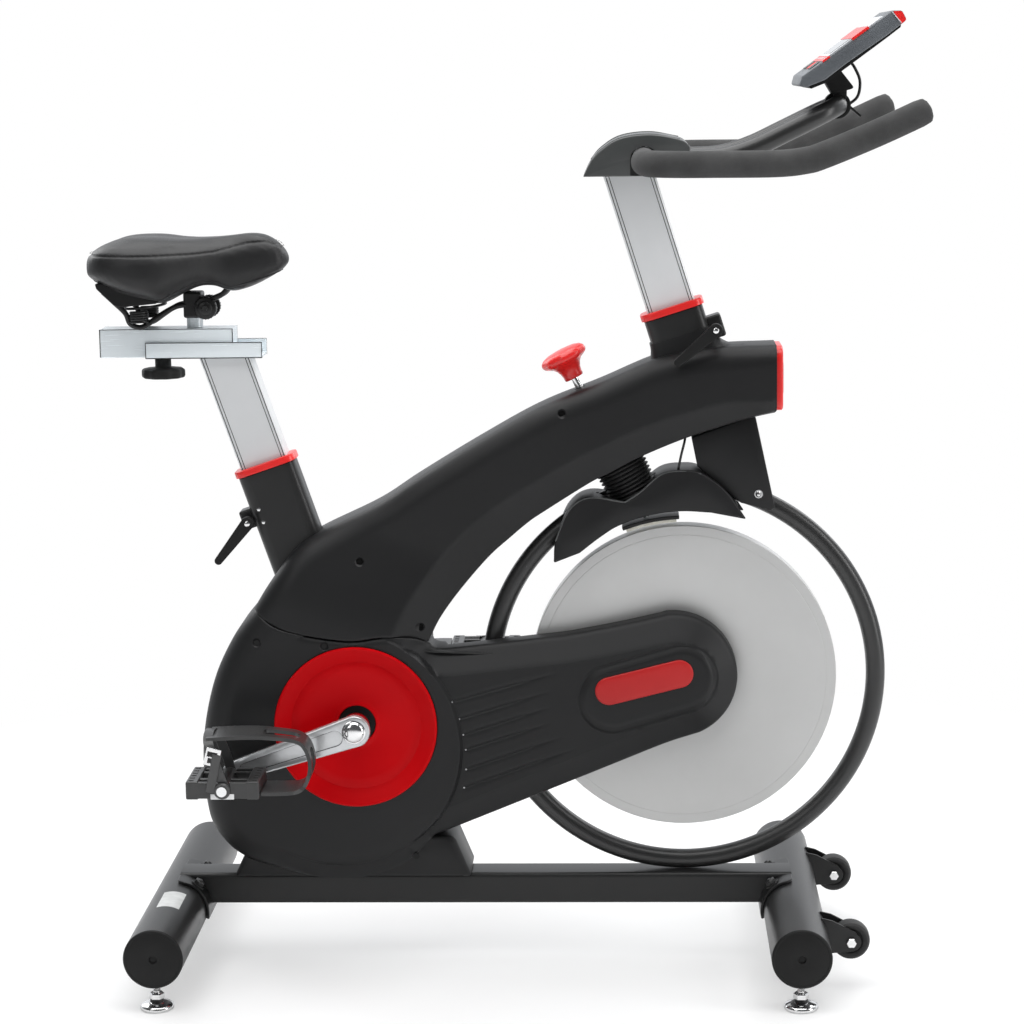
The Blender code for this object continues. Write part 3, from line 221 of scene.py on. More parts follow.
def surface(name, dark, light, rough, metal=0.0, patch=7.0, grain=900.0, bump=0.15,
            depth=0.0002, cells=0.0, stretch=None, turn=0.0, rings=None, painted_edge_highlight=0.0,
            painted_highlight_colour=0.12, **constants):
    """A finish whose colour drifts in soft patches and whose roughness and relief follow a grain.

    cells is the scale of pebbled grain, stretch draws the grain out along an axis, turned by
    turn about Y, and rings is the (x, z) centre of lathe marks. The last two arguments paint
    a highlight on raised edges: how strong it is, and the colour the edges are lightened towards.
    """
    mat = bpy.data.materials.new(name)
    mat.use_nodes = True
    tree = mat.node_tree
    shader = tree.nodes["Principled BSDF"]
    place = node(tree, "ShaderNodeTexCoord").outputs["Object"]
    patches = node(tree, "ShaderNodeTexNoise", {"Vector": place, "Scale": patch, "Detail": 5.0,
                                                "Roughness": 0.6})
    drift = span(tree, patches.outputs["Fac"], 0.35, 0.65, 0.0, 1.0)
    colour = mix_colour(tree, drift, dark, light)
    if rings:
        moved = node(tree, "ShaderNodeVectorMath", {0: place, 1: (rings[0], 0, rings[1])},
                     operation="SUBTRACT")
        flat = node(tree, "ShaderNodeVectorMath", {0: moved.outputs[0], 1: (1, 0, 1)},
                    operation="MULTIPLY")
        radius = node(tree, "ShaderNodeVectorMath", {0: flat.outputs[0]}, operation="LENGTH")
        marks = node(tree, "ShaderNodeTexNoise", {"W": radius.outputs["Value"], "Scale": grain,
                                                  "Detail": 6.0, "Roughness": 0.7},
                     noise_dimensions="1D")
        height = marks.outputs["Fac"]
    else:
        source = place
        if stretch:
            source = node(tree, "ShaderNodeMapping", {"Vector": place, "Rotation": (0, turn, 0)})
            source = node(tree, "ShaderNodeMapping", {"Vector": source.outputs[0],
                                                      "Scale": stretch}).outputs[0]
        fine = node(tree, "ShaderNodeTexNoise", {"Vector": source, "Scale": grain,
                                                 "Detail": 3.0, "Roughness": 0.55})
        height = fine.outputs["Fac"]
    if cells:
        pebble = node(tree, "ShaderNodeTexVoronoi", {"Vector": place, "Scale": cells},
                      feature="SMOOTH_F1")
        domes = span(tree, pebble.outputs["Distance"], 0.0, 0.8, 1.0, 0.0)
        height = node(tree, "ShaderNodeMath", {0: height, 1: 0.35, 2: domes},
                      operation="MULTIPLY_ADD").outputs[0]
    # Painted highlight: raised edges, found by pointiness, are lightened towards a given colour,
    # standing in for light caught on the edges.
    if painted_edge_highlight:
        point = node(tree, "ShaderNodeNewGeometry").outputs["Pointiness"]
        edge = span(tree, point, 0.52, 0.60, 0.0, painted_edge_highlight)
        colour = mix_colour(tree, edge, colour, painted_highlight_colour)
    tree.links.new(colour, shader.inputs["Base Color"])
    tree.links.new(span(tree, height, 0.25, 0.75, rough[0], rough[1]), shader.inputs["Roughness"])
    relief = node(tree, "ShaderNodeBump", {"Height": height, "Strength": bump,
                                           "Distance": depth})
    tree.links.new(relief.outputs[0], shader.inputs["Normal"])
    shader.inputs["Metallic"].default_value = metal
    for key, value in constants.items():
        shader.inputs[key.replace("_", " ")].default_value = value
    return mat


# Finishes below that are given an edge highlight have their raised edges painted lighter, as a
# highlight.
SHELL = surface("moulded_black", (0.0085, 0.0085, 0.009), (0.0105, 0.0105, 0.011), (0.42, 0.52),
                patch=5, grain=2200, bump=0.10, depth=0.0001, painted_edge_highlight=0.35, painted_highlight_colour=0.03,
                Specular_IOR_Level=0.30)
STEEL = surface("satin_black_paint", 0.008, 0.011, (0.30, 0.42), patch=9, grain=1500, bump=0.12,
                depth=0.00012, painted_edge_highlight=0.3, painted_highlight_colour=0.04, Specular_IOR_Level=0.34)
TUBE_PAINT = surface("tube_grey_paint", 0.015, 0.022, (0.30, 0.40), patch=12, grain=1800,
                     bump=0.10, depth=0.0001, Specular_IOR_Level=0.55)
CAP_BLACK = surface("end_cap_black", 0.0075, 0.0105, (0.5, 0.65), patch=14, grain=1300, bump=0.2,
                    depth=0.00015, Specular_IOR_Level=0.25)
RED_DISC = surface("red_disc_gloss", (0.50, 0.0, 0.002), (0.56, 0.0, 0.003), (0.40, 0.50),
                   patch=4, grain=700, bump=0.02, depth=0.0001, Specular_IOR_Level=0.10)
RED = surface("red_moulding", (0.70, 0.014, 0.013), (0.78, 0.020, 0.018), (0.28, 0.38), patch=12,
              grain=900, bump=0.05, depth=0.0001, Coat_Weight=0.2, Coat_Roughness=0.15)
BADGE_RED = surface("badge_red", (0.42, 0.014, 0.014), (0.48, 0.018, 0.018), (0.34, 0.42),
                    patch=10, grain=800, bump=0.03, depth=0.0001, Specular_IOR_Level=0.3)
# Painted shade and highlight: a darker red for the front cap's inset panel, standing in for the shade
# seen in the glossy cap's middle, with its raised edges painted brighter red as a highlight.
RED_CAP_SHADE = surface("red_cap_painted_shade", (0.36, 0.002, 0.004), (0.46, 0.004, 0.006), (0.20, 0.30), patch=20,
                  grain=500, bump=0.05, depth=0.0001, painted_edge_highlight=0.7, painted_highlight_colour=(0.9, 0.05, 0.05),
                  Coat_Weight=0.3)
# Painted shade: a near-black, dull finish darker than the moulding, standing in for the shade inside
# the screw recesses.
RECESS_SHADE = surface("screw_recess_painted_shade", 0.0022, 0.0034, (0.8, 0.95), patch=60, grain=900, bump=0.05,
                 Specular_IOR_Level=0.1)
SEAT_ALLOY = surface("seat_post_anodised", (0.64, 0.65, 0.66), (0.70, 0.71, 0.72), (0.38, 0.50),
                     metal=0.25, patch=4, grain=60, stretch=(9, 9, 0.25), turn=SEAT_TILT,
                     bump=0.05, depth=0.00008)
HEAD_ALLOY = surface("head_post_anodised", (0.73, 0.74, 0.75), (0.79, 0.80, 0.81), (0.38, 0.50),
                     metal=0.25, patch=4, grain=60, stretch=(9, 9, 0.25), turn=HEAD_TILT,
                     bump=0.05, depth=0.00008)
BRIGHT = surface("bright_carriage_metal", (0.80, 0.86, 0.89), (0.87, 0.93, 0.96), (0.25, 0.28),
                 metal=0.15, patch=3, grain=70, stretch=(0.3, 9, 9), bump=0.008, depth=0.00003)
WHEEL_STEEL = surface("turned_wheel_steel", (0.50, 0.50, 0.495), (0.58, 0.58, 0.575),
                      (0.34, 0.46), metal=0.45, patch=2.2, grain=900, rings=(AXLE.x, AXLE.z),
                      bump=0.05, depth=0.00012)
CHROME = surface("bright_plating", 0.70, 0.80, (0.10, 0.18), metal=1.0, patch=30, grain=800,
                 bump=0.03, depth=0.00005)
CRANK_METAL = surface("polished_crank", (0.50, 0.51, 0.52), (0.62, 0.63, 0.64), (0.16, 0.28),
                      metal=0.6, patch=20, grain=120, stretch=(1.0, 6, 6), turn=-0.32, bump=0.06,
                      depth=0.0001)
ALLOY = surface("plain_alloy", (0.36, 0.36, 0.37), (0.46, 0.46, 0.47), (0.35, 0.5), metal=1.0,
                patch=20, grain=500, bump=0.1)
LEATHER = surface("saddle_leather", (0.010, 0.010, 0.0105), (0.014, 0.014, 0.0145), (0.36, 0.48),
                  patch=10, grain=1600, cells=1000, bump=0.25, depth=0.00025,
                  Specular_IOR_Level=0.36)
THREAD = surface("saddle_thread", 0.012, 0.022, (0.5, 0.7), patch=200, grain=4000, bump=0.4)
FOAM = surface("grip_foam", 0.052, 0.070, (0.85, 1.0), patch=25, grain=2600, cells=1500,
               bump=0.55, depth=0.0004, Specular_IOR_Level=0.25)
RUBBER = surface("bellows_rubber", 0.007, 0.013, (0.42, 0.6), patch=40, grain=1400, bump=0.2)
TYRE = surface("wheel_rubber", 0.016, 0.028, (0.55, 0.75), patch=60, grain=1600, bump=0.25)
FELT = surface("brake_felt", (0.62, 0.60, 0.52), (0.78, 0.76, 0.68), (0.9, 1.0), patch=90,
               grain=2200, bump=0.8, depth=0.0006, Sheen_Weight=0.4)
PEDAL = surface("pedal_resin", 0.018, 0.026, (0.28, 0.42), patch=40, grain=1200, bump=0.15,
                painted_edge_highlight=0.4)
SLATE = surface("console_slate", (0.088, 0.096, 0.106), (0.108, 0.118, 0.130), (0.34, 0.46),
                patch=14, grain=2400, bump=0.1, depth=0.0001)
PALE = surface("console_face", (0.52, 0.53, 0.55), (0.62, 0.63, 0.65), (0.25, 0.35), patch=12,
               grain=1800, bump=0.04, Coat_Weight=0.2)
GLASS = surface("screen_glass", (0.020, 0.026, 0.024), (0.034, 0.042, 0.038), (0.05, 0.10),
                patch=8, grain=300, bump=0.01, Coat_Weight=0.6, Coat_Roughness=0.03)
HOOD = surface("hood_grey", (0.042, 0.045, 0.045), (0.055, 0.058, 0.058), (0.34, 0.44), patch=10,
               grain=2400, bump=0.12, depth=0.0001, painted_edge_highlight=0.5, painted_highlight_colour=0.10)
LABEL = surface("plain_label", (0.55, 0.56, 0.55), (0.68, 0.69, 0.68), (0.4, 0.5), patch=60,
                grain=900, bump=0.03)
REFLECTOR = surface("white_reflector", 0.75, 0.9, (0.1, 0.2), patch=50, grain=400, cells=900,
                    bump=0.4, Coat_Weight=0.5)


# ---------------------------------------------------------------- making and placing meshes
def from_bm(name, bm, mat, body, replaces=(), sharp=34, outward=True):
    """A piece out of a bmesh, riding on a body; sharp is the angle of its hard edges."""
    if outward:
        bmesh.ops.recalc_face_normals(bm, faces=bm.faces)
    mesh = bpy.data.meshes.new(name)
    bm.to_mesh(mesh)
    bm.free()
    obj = bpy.data.objects.new(name, mesh)
    bpy.context.scene.collection.objects.link(obj)
    mesh.materials.append(mat)
    mesh.shade_smooth()
    if sharp:
        mesh.set_sharp_from_angle(angle=math.radians(sharp))
    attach(obj, body)
    if replaces:
        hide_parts(*replaces)
    return obj


def merged(*parts):
    """One bmesh out of several; the others are freed."""
    whole = bmesh.new()
    for part in parts:
        mesh = bpy.data.meshes.new("part")
        bmesh.ops.recalc_face_normals(part, faces=part.faces)
        part.to_mesh(mesh)
        part.free()
        whole.from_mesh(mesh)
        bpy.data.meshes.remove(mesh)
    return whole


def bevelled(obj, width, segments=3, angle=32):
    obj.data.shade_smooth()
    bevel = obj.modifiers.new("rounded_edges", "BEVEL")
    bevel.width = width
    bevel.segments = segments
    bevel.limit_method = "ANGLE"
    bevel.angle_limit = math.radians(angle)
    bevel.harden_normals = True
    return obj


def bake(obj, sharp=34):
    """Applies an object's modifiers to its mesh."""
    bpy.context.view_layer.update()
    evaluated = obj.evaluated_get(bpy.context.evaluated_depsgraph_get())
    mesh = bpy.data.meshes.new_from_object(evaluated)
    obj.modifiers.clear()
    obj.data = mesh
    mesh.shade_smooth()
    if sharp:
        mesh.set_sharp_from_angle(angle=math.radians(sharp))
    return obj


def cut(obj, bms, sharp=34):
    """Takes closed bmeshes away from an object and bakes the result."""
    tools = []
    for bm in bms:
        bmesh.ops.recalc_face_normals(bm, faces=bm.faces)
        mesh = bpy.data.meshes.new("tool")
        bm.to_mesh(mesh)
        bm.free()
        tool = bpy.data.objects.new("tool", mesh)
        bpy.context.scene.collection.objects.link(tool)
        boolean = obj.modifiers.new("cut", "BOOLEAN")
        boolean.operation = "DIFFERENCE"
        boolean.object = tool
        boolean.solver = "EXACT"
        tools.append(tool)
    bake(obj, sharp)
    for tool in tools:
        bpy.data.objects.remove(tool, do_unlink=True)
    return obj


def skin(bm, low, high):
    """Faces between two rings of vertices; a ring of one vertex is a tip."""
    count = max(len(low), len(high))
    for i in range(count):
        j = (i + 1) % count
        corners = [low[i % len(low)], low[j % len(low)], high[j % len(high)], high[i % len(high)]]
        unique = list(dict.fromkeys(corners))
        if len(unique) > 2:
            bm.faces.new(unique)


def loft(rings, closed=False, bm=None):
    """A bmesh over rings of points, capped at its ends or closed into a ring."""
    if bm is None:
        bm = bmesh.new()
    rings = [[bm.verts.new(point) for point in ring] for ring in rings]
    for low, high in zip(rings, rings[1:]):
        skin(bm, low, high)
    if closed:
        skin(bm, rings[-1], rings[0])
        return bm
    for ring in (rings[0], rings[-1]):
        if len(ring) > 1:
            bm.faces.new(ring)
    return bm


def rounded(points, closed=False, steps=5):
    """Rounds the corners of a path of (a, b, radius) points; without a radius they stay sharp."""
    result = []
    count = len(points)
    for i, point in enumerate(points):
        here = Vector(point[:2])
        radius = point[2] if len(point) > 2 else 0.0
        if radius <= 0 or (not closed and i in (0, count - 1)):
            result.append((here.x, here.y))
            continue
        before = Vector(points[i - 1][:2]) - here
        after = Vector(points[(i + 1) % count][:2]) - here
        reach = radius / max(math.tan(before.angle(after) / 2), 0.05)
        reach = min(reach, 0.49 * before.length, 0.49 * after.length)
        start = here + before.normalized() * reach
        end = here + after.normalized() * reach
        for k in range(steps + 1):
            t = k / steps
            spot = start * (1 - t) ** 2 + here * 2 * t * (1 - t) + end * t * t
            result.append((spot.x, spot.y))
    return result


def lathe(profile, origin, axis, steps=64, closed=False, lobes=0, lobe_depth=0.0):
    """A bmesh of a profile of (radius, height) points spun about an axis.

    With lobes, the radius of the outer points swells and shrinks round the axis.
    """
    track = Vector(axis).to_track_quat("Z", "Y").to_matrix().to_4x4()
    place = Matrix.Translation(origin) @ track
    widest = max(point[0] for point in profile)
    rings = []
    for radius, height in profile:
        ring = []
        for k in range(steps if radius > 1e-6 else 1):
            angle = 2 * math.pi * k / steps
            share = max(radius / widest - 0.45, 0.0) / 0.55
            r = radius * (1 - lobe_depth * share * (0.5 - 0.5 * math.cos(lobes * angle)))
            ring.append(place @ Vector((r * math.cos(angle), r * math.sin(angle), height)))
        rings.append(ring)
    return loft(rings, closed)


def rod(radius, low, high, origin, axis, steps=32):
    """A bmesh of a plain round bar between two distances along an axis."""
    return lathe([(0, low), (radius, low), (radius, high), (0, high)], origin, axis, steps)


def smooth_path(points, per_span=6):
    """Catmull-Rom points through the given ones, ends included."""
    points = [Vector(p) for p in points]
    ends = [2 * points[0] - points[1]] + points + [2 * points[-1] - points[-2]]
    path = []
    for a, b, c, d in zip(ends, ends[1:], ends[2:], ends[3:]):
        for i in range(per_span):
            t = i / per_span
            path.append(0.5 * ((2 * b) + (c - a) * t + (2 * a - 5 * b + 4 * c - d) * t * t
                               + (3 * b - a - 3 * c + d) * t ** 3))
    path.append(points[-1])
    return path


def arc(centre, radius, start, end, count):
    """(x, z) points on an arc, angles in degrees from +X towards +Z."""
    angles = [math.radians(start + (end - start) * i / (count - 1)) for i in range(count)]
    return [(centre[0] + radius * math.cos(a), centre[1] + radius * math.sin(a)) for a in angles]


def sweep(points, radius, sides=20, closed=False):
    """A bmesh tube along points, its ends rounded; radius is one number or one a point."""
    points = [Vector(p) for p in points]
    count = len(points)
    radii = radius if isinstance(radius, list) else [radius] * count
    tangents = []
    for i in range(count):
        before = points[i - 1] if (i or closed) else points[0]
        after = points[(i + 1) % count] if (i < count - 1 or closed) else points[-1]
        tangents.append((after - before).normalized())
    side = tangents[0].orthogonal().normalized()
    if abs(tangents[0].y) < 0.9:
        side = (Vector((0, 1, 0)) - tangents[0] * tangents[0].y).normalized()
    rings = []

    def ring(centre, tangent, r):
        other = tangent.cross(side)
        rings.append([centre + side * (r * math.cos(a)) + other * (r * math.sin(a))
                      for a in (2 * math.pi * k / sides for k in range(sides))])
    swell = [] if closed else [math.pi / 2 * (k + 0.35) / 3 for k in range(3)]
    for a in swell:
        ring(points[0] - tangents[0] * radii[0] * 0.5 * math.cos(a), tangents[0],
             radii[0] * math.sin(a))
    for i in range(count):
        side = (side - tangents[i] * side.dot(tangents[i])).normalized()
        ring(points[i], tangents[i], radii[i])
    for a in reversed(swell):
        ring(points[-1] + tangents[-1] * radii[-1] * 0.5 * math.cos(a), tangents[-1],
             radii[-1] * math.sin(a))
    return loft(rings, closed)


def ribbon(points, across, half_width, half_thick):
    """A bmesh of a flat band along points, its width turned towards `across`."""
    rings = []
    last = len(points) - 1
    for i, point in enumerate(points):
        run = (points[min(i + 1, last)] - points[max(i - 1, 0)]).normalized()
        wide = (across - run * run.dot(across)).normalized() * half_width
        thin = run.cross(wide).normalized() * half_thick
        rings.append([point + wide * a + thin * b
                      for a, b in ((1, 1), (-1, 1), (-1, -1), (1, -1))])
    return loft(rings)


def edge_line(start, end, radius):
    """A bmesh of a fine straight line, such as painted shade along the edge of a bright piece."""
    start = Vector(start)
    end = Vector(end)
    return sweep([start, (start + end) / 2, end], radius, 8)


def slab(outline, y_low, y_high):
    """A bmesh of a closed (x, z) outline, from y_low to y_high."""
    return loft([[(x, y, z) for x, z in outline] for y in (y_low, y_high)])


def along_x(section, x_low, x_high):
    """A bmesh of a closed (y, z) section, from x_low to x_high."""
    return loft([[(x, y, z) for y, z in section] for x in (x_low, x_high)])


def block(centre, size, tilt=0.0):
    bm = bmesh.new()
    place = Matrix.Translation(centre) @ Matrix.Rotation(-tilt, 4, "Y")
    bmesh.ops.create_cube(bm, size=1.0, matrix=place @ Matrix.Diagonal((*size, 1.0)))
    return bm


def post_ring(section, origin, tilt, level):
    """The points of an (across, y) section at one distance along a post."""
    return [on_post(origin, tilt, level, a, y) for a, y in section]


def prism(section, origin, tilt, low, high):
    """A bmesh of a closed (across, y) section drawn along a post between two distances.

    low and high are distances along the post, or a function giving one for each `across`.
    """
    return loft([[on_post(origin, tilt, end(a) if callable(end) else end, a, y)
                  for a, y in section] for end in (low, high)])


def rounded_rectangle(width, height, radius, steps=8):
    a = width / 2
    b = height / 2
    return rounded([(a, b, radius), (-a, b, radius), (-a, -b, radius), (a, -b, radius)],
                   closed=True, steps=steps)


def hexagon(centre, axis, across, thick, chamfer=0.12):
    """A bmesh hexagon nut or bolt head, its base at centre, its corners turned off."""
    r = across / math.sqrt(3)
    profile = [(0.0, thick), (r * (1 - chamfer), thick), (r, thick * 0.82), (r, 0.0), (0.0, 0.0)]
    return lathe(profile, centre, axis, steps=6)


def bolt(centre, axis, across=0.013, thick=0.006, washer=0.010):
    """A bmesh bolt head on a washer, with a domed middle."""
    start = Vector(centre)
    out = Vector(axis).normalized()
    disc = lathe([(0.0, 0.0014), (washer, 0.0014), (washer, 0.0), (0.0, 0.0)], start, out, 28)
    head = hexagon(start + out * 0.0014, out, across, thick)
    dome = lathe([(0.0, 0.0022), (0.0022, 0.0018), (0.0036, 0.0), (0.0, 0.0)],
                 start + out * (0.0014 + thick), out, 20)
    return merged(disc, head, dome)


def round_screw(centre, axis, radius=0.0042):
    """A bmesh of a sunk screw: a cup with a cross-recessed head in it, which the upper shells paint
    very dark as the shade of the recess.
    """
    out = Vector(axis).normalized()
    start = Vector(centre)
    cup = [(radius, 0.0006), (radius * 0.94, 0.0006), (radius * 0.90, -0.0030), (0.0, -0.0030)]
    head = lathe([(0.0, -0.0012), (radius * 0.45, -0.0014), (radius * 0.75, -0.0026),
                  (0.0, -0.0030)], start, out, 20)
    return merged(lathe(cup, start, out, 28), head)


# ---------------------------------------------------------------- outlines
SEAM = [(-0.0905, 0.4335), (-0.113, 0.4425), (-0.150, 0.4445), (-0.198, 0.4405),
        (-0.278, 0.4550), (-0.317, 0.479)]
BEAM_TOP = [(-0.317, 0.480), (-0.294, 0.516), (-0.262, 0.556), (-0.227, 0.579), (-0.154, 0.614),
            (-0.101, 0.648), (-0.021, 0.696), (0.058, 0.739), (0.136, 0.770), (0.214, 0.802),
            (0.285, 0.814), (0.362, 0.817)]
BEAM_BOTTOM = [(0.362, 0.7305), (0.3225, 0.7213), (0.2495, 0.6980), (0.187, 0.6725),
               (0.1485, 0.6525), (0.1205, 0.6385), (0.0575, 0.599), (0.039, 0.586),
               (0.0165, 0.567), (-0.0075, 0.5455), (-0.035, 0.5150), (-0.060, 0.4845),
               (-0.077, 0.4600), (-0.0885, 0.4370)]
BODY_REAR = [(-0.317, 0.479), (-0.346, 0.441), (-0.374, 0.380), (-0.390, 0.299),
             (-0.387, 0.217), (-0.372, 0.176), (-0.335, 0.143), (-0.262, 0.124),
             (-0.188, 0.121), (-0.130, 0.138), (-0.088, 0.1720)]
ARM_LOW = [(-0.088, 0.1720), (-0.053, 0.1855), (0.042, 0.2240), (0.106, 0.2500), (0.168, 0.2755),
           (0.220, 0.2965), (0.2555, 0.3080)]
ARM_NOSE = ((0.2290, 0.3860), 0.083)
ARM_TOP = [(0.215, 0.4668), (0.160, 0.4548), (0.0945, 0.4427), (0.053, 0.4378),
           (-0.0145, 0.4302), (-0.0405, 0.4274), (-0.0645, 0.4248), (-0.0765, 0.4248),
           (-0.0840, 0.4272), (-0.0890, 0.4325)]
LEFT_FRONT = [(-0.088, 0.1720), (-0.066, 0.205), (-0.060, 0.250), (-0.058, 0.350),
              (-0.0615, 0.384), (-0.074, 0.404), (-0.0890, 0.4175), (-0.0905, 0.4330)]
DISC = Vector((-0.2054, 0.2968))
DISC_R = 0.1596
DISC_FACE = 0.0738
ARM_FACE = 0.0668
BEAM_FACE = 0.0515


def flat_path(points, per_span=8):
    return [(p.x, p.y) for p in smooth_path([Vector((x, z, 0)) for x, z in points], per_span)]


def joined(*runs):
    points = []
    for run in runs:
        for point in run:
            if not points or (Vector(point) - Vector(points[-1])).length > 0.0015:
                points.append(point)
    if (Vector(points[0]) - Vector(points[-1])).length < 0.0015:
        points.pop()
    return points


def spaced(points, spacing, closed=True):
    """Points at an even spacing along a path."""
    path = [Vector(p) for p in points]
    if closed:
        path.append(path[0])
    result = []
    carry = 0.0
    for a, b in zip(path, path[1:]):
        length = (b - a).length
        while carry < length:
            result.append(tuple(a + (b - a) * (carry / length)))
            carry += spacing
        carry -= length
    return result


def distances(points, path, closed=False):
    """Distance of each point from a path."""
    p = np.array(points, float)
    a = np.array(path, float)
    b = np.roll(a, -1, axis=0)
    if not closed:
        a = a[:-1]
        b = b[:-1]
    d = b - a
    best = np.full(len(p), 1e9)
    for start, step in zip(a, d):
        t = np.clip(((p - start) @ step) / (step @ step), 0, 1)
        best = np.minimum(best, np.linalg.norm(p - start - t[:, None] * step, axis=1))
    return best


def inside(points, outline):
    """Which points lie inside a closed outline."""
    p = np.array(points, float)
    odd = np.zeros(len(p), bool)
    for (x0, z0), (x1, z1) in zip(outline, outline[1:] + outline[:1]):
        if z0 == z1:
            continue
        crosses = (z0 > p[:, 1]) != (z1 > p[:, 1])
        at = x0 + (p[:, 1] - z0) * (x1 - x0) / (z1 - z0)
        odd ^= crosses & (p[:, 0] < at)
    return odd


def moulding(outline, depth_of, side, wall_low, bands=(), rows=(), spacing=0.0042):
    """A bmesh of one moulded half: a face whose depth depth_of gives, and the wall round it.

    bands are distances from the outline at which more points run, so that a rounded edge is
    even; rows are more (x, z) points, along creases and grooves.
    """
    edge = spaced(outline, spacing)
    count = len(edge)
    area = sum(a[0] * b[1] - b[0] * a[1] for a, b in zip(edge, edge[1:] + edge[:1]))
    turn = 1.0 if area > 0 else -1.0
    points = list(edge)
    for band in bands:
        ring = []
        for i, here in enumerate(edge):
            run = Vector(edge[(i + 1) % count]) - Vector(edge[i - 1])
            inward = Vector((-run.y, run.x)).normalized() * turn
            ring.append(tuple(Vector(here) + inward * band))
        away = distances(ring, edge, True)
        good = (away > band * 0.98) & inside(ring, edge)
        points += [spot for spot, keep in zip(ring, good) if keep]
    rows = list(rows)
    if rows:
        good = inside(rows, edge) & (distances(rows, edge, True) > 0.0008)
        rows = [spot for spot, keep in zip(rows, good) if keep]
        points += rows
    xs = [x for x, z in edge]
    zs = [z for x, z in edge]
    grid = []
    step_z = spacing * 0.866
    for i in range(int((max(zs) - min(zs)) / step_z) + 1):
        for j in range(int((max(xs) - min(xs)) / spacing) + 1):
            grid.append((min(xs) + (j + 0.5 * (i % 2)) * spacing, min(zs) + i * step_z))
    margin = (bands[-1] if bands else 0.0) + spacing * 0.6
    keep = inside(grid, edge) & (distances(grid, edge, True) > margin)
    grid = [spot for spot, good in zip(grid, keep) if good]
    if rows:
        tree = KDTree(len(rows))
        for i, (x, z) in enumerate(rows):
            tree.insert((x, z, 0), i)
        tree.balance()
        grid = [spot for spot in grid if tree.find((*spot, 0))[2] > spacing * 0.55]
    points += grid
    flat, _, faces, sources, _, _ = delaunay_2d_cdt(
        [Vector(p) for p in points], [], [list(range(count))], 1, 1e-6)
    depths = depth_of(np.array([(p.x, p.y) for p in flat]))
    bm = bmesh.new()
    verts = [bm.verts.new((p.x, side * y, p.y)) for p, y in zip(flat, depths)]
    for face in faces:
        bm.faces.new([verts[i] for i in face])
    at_edge = [None] * count
    for vert, source in zip(verts, sources):
        for i in source:
            if i < count:
                at_edge[i] = vert
    foot = [bm.verts.new((v.co.x, side * wall_low(v.co.x), v.co.z)) for v in at_edge]
    skin(bm, foot, at_edge)
    bmesh.ops.recalc_face_normals(bm, faces=bm.faces)
    bm.faces.ensure_lookup_table()
    flattest = max(bm.faces, key=lambda f: abs(f.normal.y) * f.calc_area())
    if flattest.normal.y * side < 0:
        bmesh.ops.reverse_faces(bm, faces=bm.faces)
    return bm


def walled(obj, thickness=0.0022):
    wall = obj.modifiers.new("wall", "SOLIDIFY")
    wall.thickness = thickness
    wall.offset = -1
    wall.use_rim = True
    return obj


def round_drop(distance, width, drop):
    """How far a rounded edge falls back at a distance from the outline."""
    t = np.clip(1 - distance / width, 0, 1)
    return drop * (1 - np.sqrt(1 - np.minimum(t, 0.9999) ** 2))


def chamfer_drop(distance, width, drop):
    return drop * np.clip(1 - distance / width, 0, 1)


def soft_step(value):
    t = np.clip(value, 0, 1)
    return t * t * (3 - 2 * t)


# ---------------------------------------------------------------- body mouldings
BANDS = (0.0008, 0.0022, 0.0044, 0.0072, 0.0105, 0.0142, 0.0182, 0.0224, 0.0268, 0.0310)
SCREW_RINGS = (0.0042, 0.0052, 0.0062)
SCREWS_UPPER = [(0.087, 0.732), (-0.177, 0.542), (-0.100, 0.4545)]
SCREWS_LOWER = [(-0.3115, 0.439), (-0.224, 0.434), (-0.110, 0.150)]
GROOVES = [((-0.059, 0.358), (0.088, 0.399)), ((-0.050, 0.335), (0.076, 0.374)),
           ((-0.045, 0.314), (0.076, 0.353)), ((-0.042, 0.294), (0.076, 0.332)),
           ((-0.042, 0.2675), (0.092, 0.314)), ((-0.045, 0.243), (0.114, 0.300))]
BOSS = (Vector((0.150, 0.361)), Vector((0.240, 0.387)), 0.0420)
BADGE = Vector((0.1905, 0.3835))
BADGE_TURN = math.radians(14)


def along_line(p, start, end):
    """Distance from a segment and share along it, for rows of (x, z) points."""
    start = np.array(start)
    step = np.array(end) - start
    t = np.clip(((p - start) @ step) / (step @ step), 0, 1)
    return np.linalg.norm(p - start - t[:, None] * step, axis=1), t


def beside_line(start, end, offsets, spacing=0.003):
    """Rows of points along a segment, at offsets to its sides."""
    start = Vector(start)
    end = Vector(end)
    step = (end - start).normalized()
    across = Vector((-step.y, step.x))
    count = max(int((end - start).length / spacing), 2)
    rows = []
    for offset in offsets:
        for i in range(count + 1):
            rows.append(tuple(start.lerp(end, i / count) + across * offset))
    return rows


def round_rows(centre, radii, spacing=0.003):
    rows = []
    for radius in radii:
        count = int(2 * math.pi * radius / spacing)
        for i in range(count):
            a = 2 * math.pi * i / count
            rows.append((centre[0] + radius * math.cos(a), centre[1] + radius * math.sin(a)))
    return rows


def pill_rows(start, end, radii, spacing=0.003):
    rows = []
    step = (end - start).normalized()
    turn = math.atan2(step.y, step.x)
    for radius in radii:
        count = int(math.pi * radius / spacing)
        for centre, base in ((start, turn + math.pi / 2), (end, turn - math.pi / 2)):
            for i in range(count + 1):
                a = base + math.pi * i / count
                rows.append((centre.x + radius * math.cos(a), centre.y + radius * math.sin(a)))
        straight = int((end - start).length / spacing)
        for sign in (-1, 1):
            across = Vector((-step.y, step.x)) * radius * sign
            for i in range(1, straight):
                rows.append(tuple(start.lerp(end, i / straight) + across))
    return rows


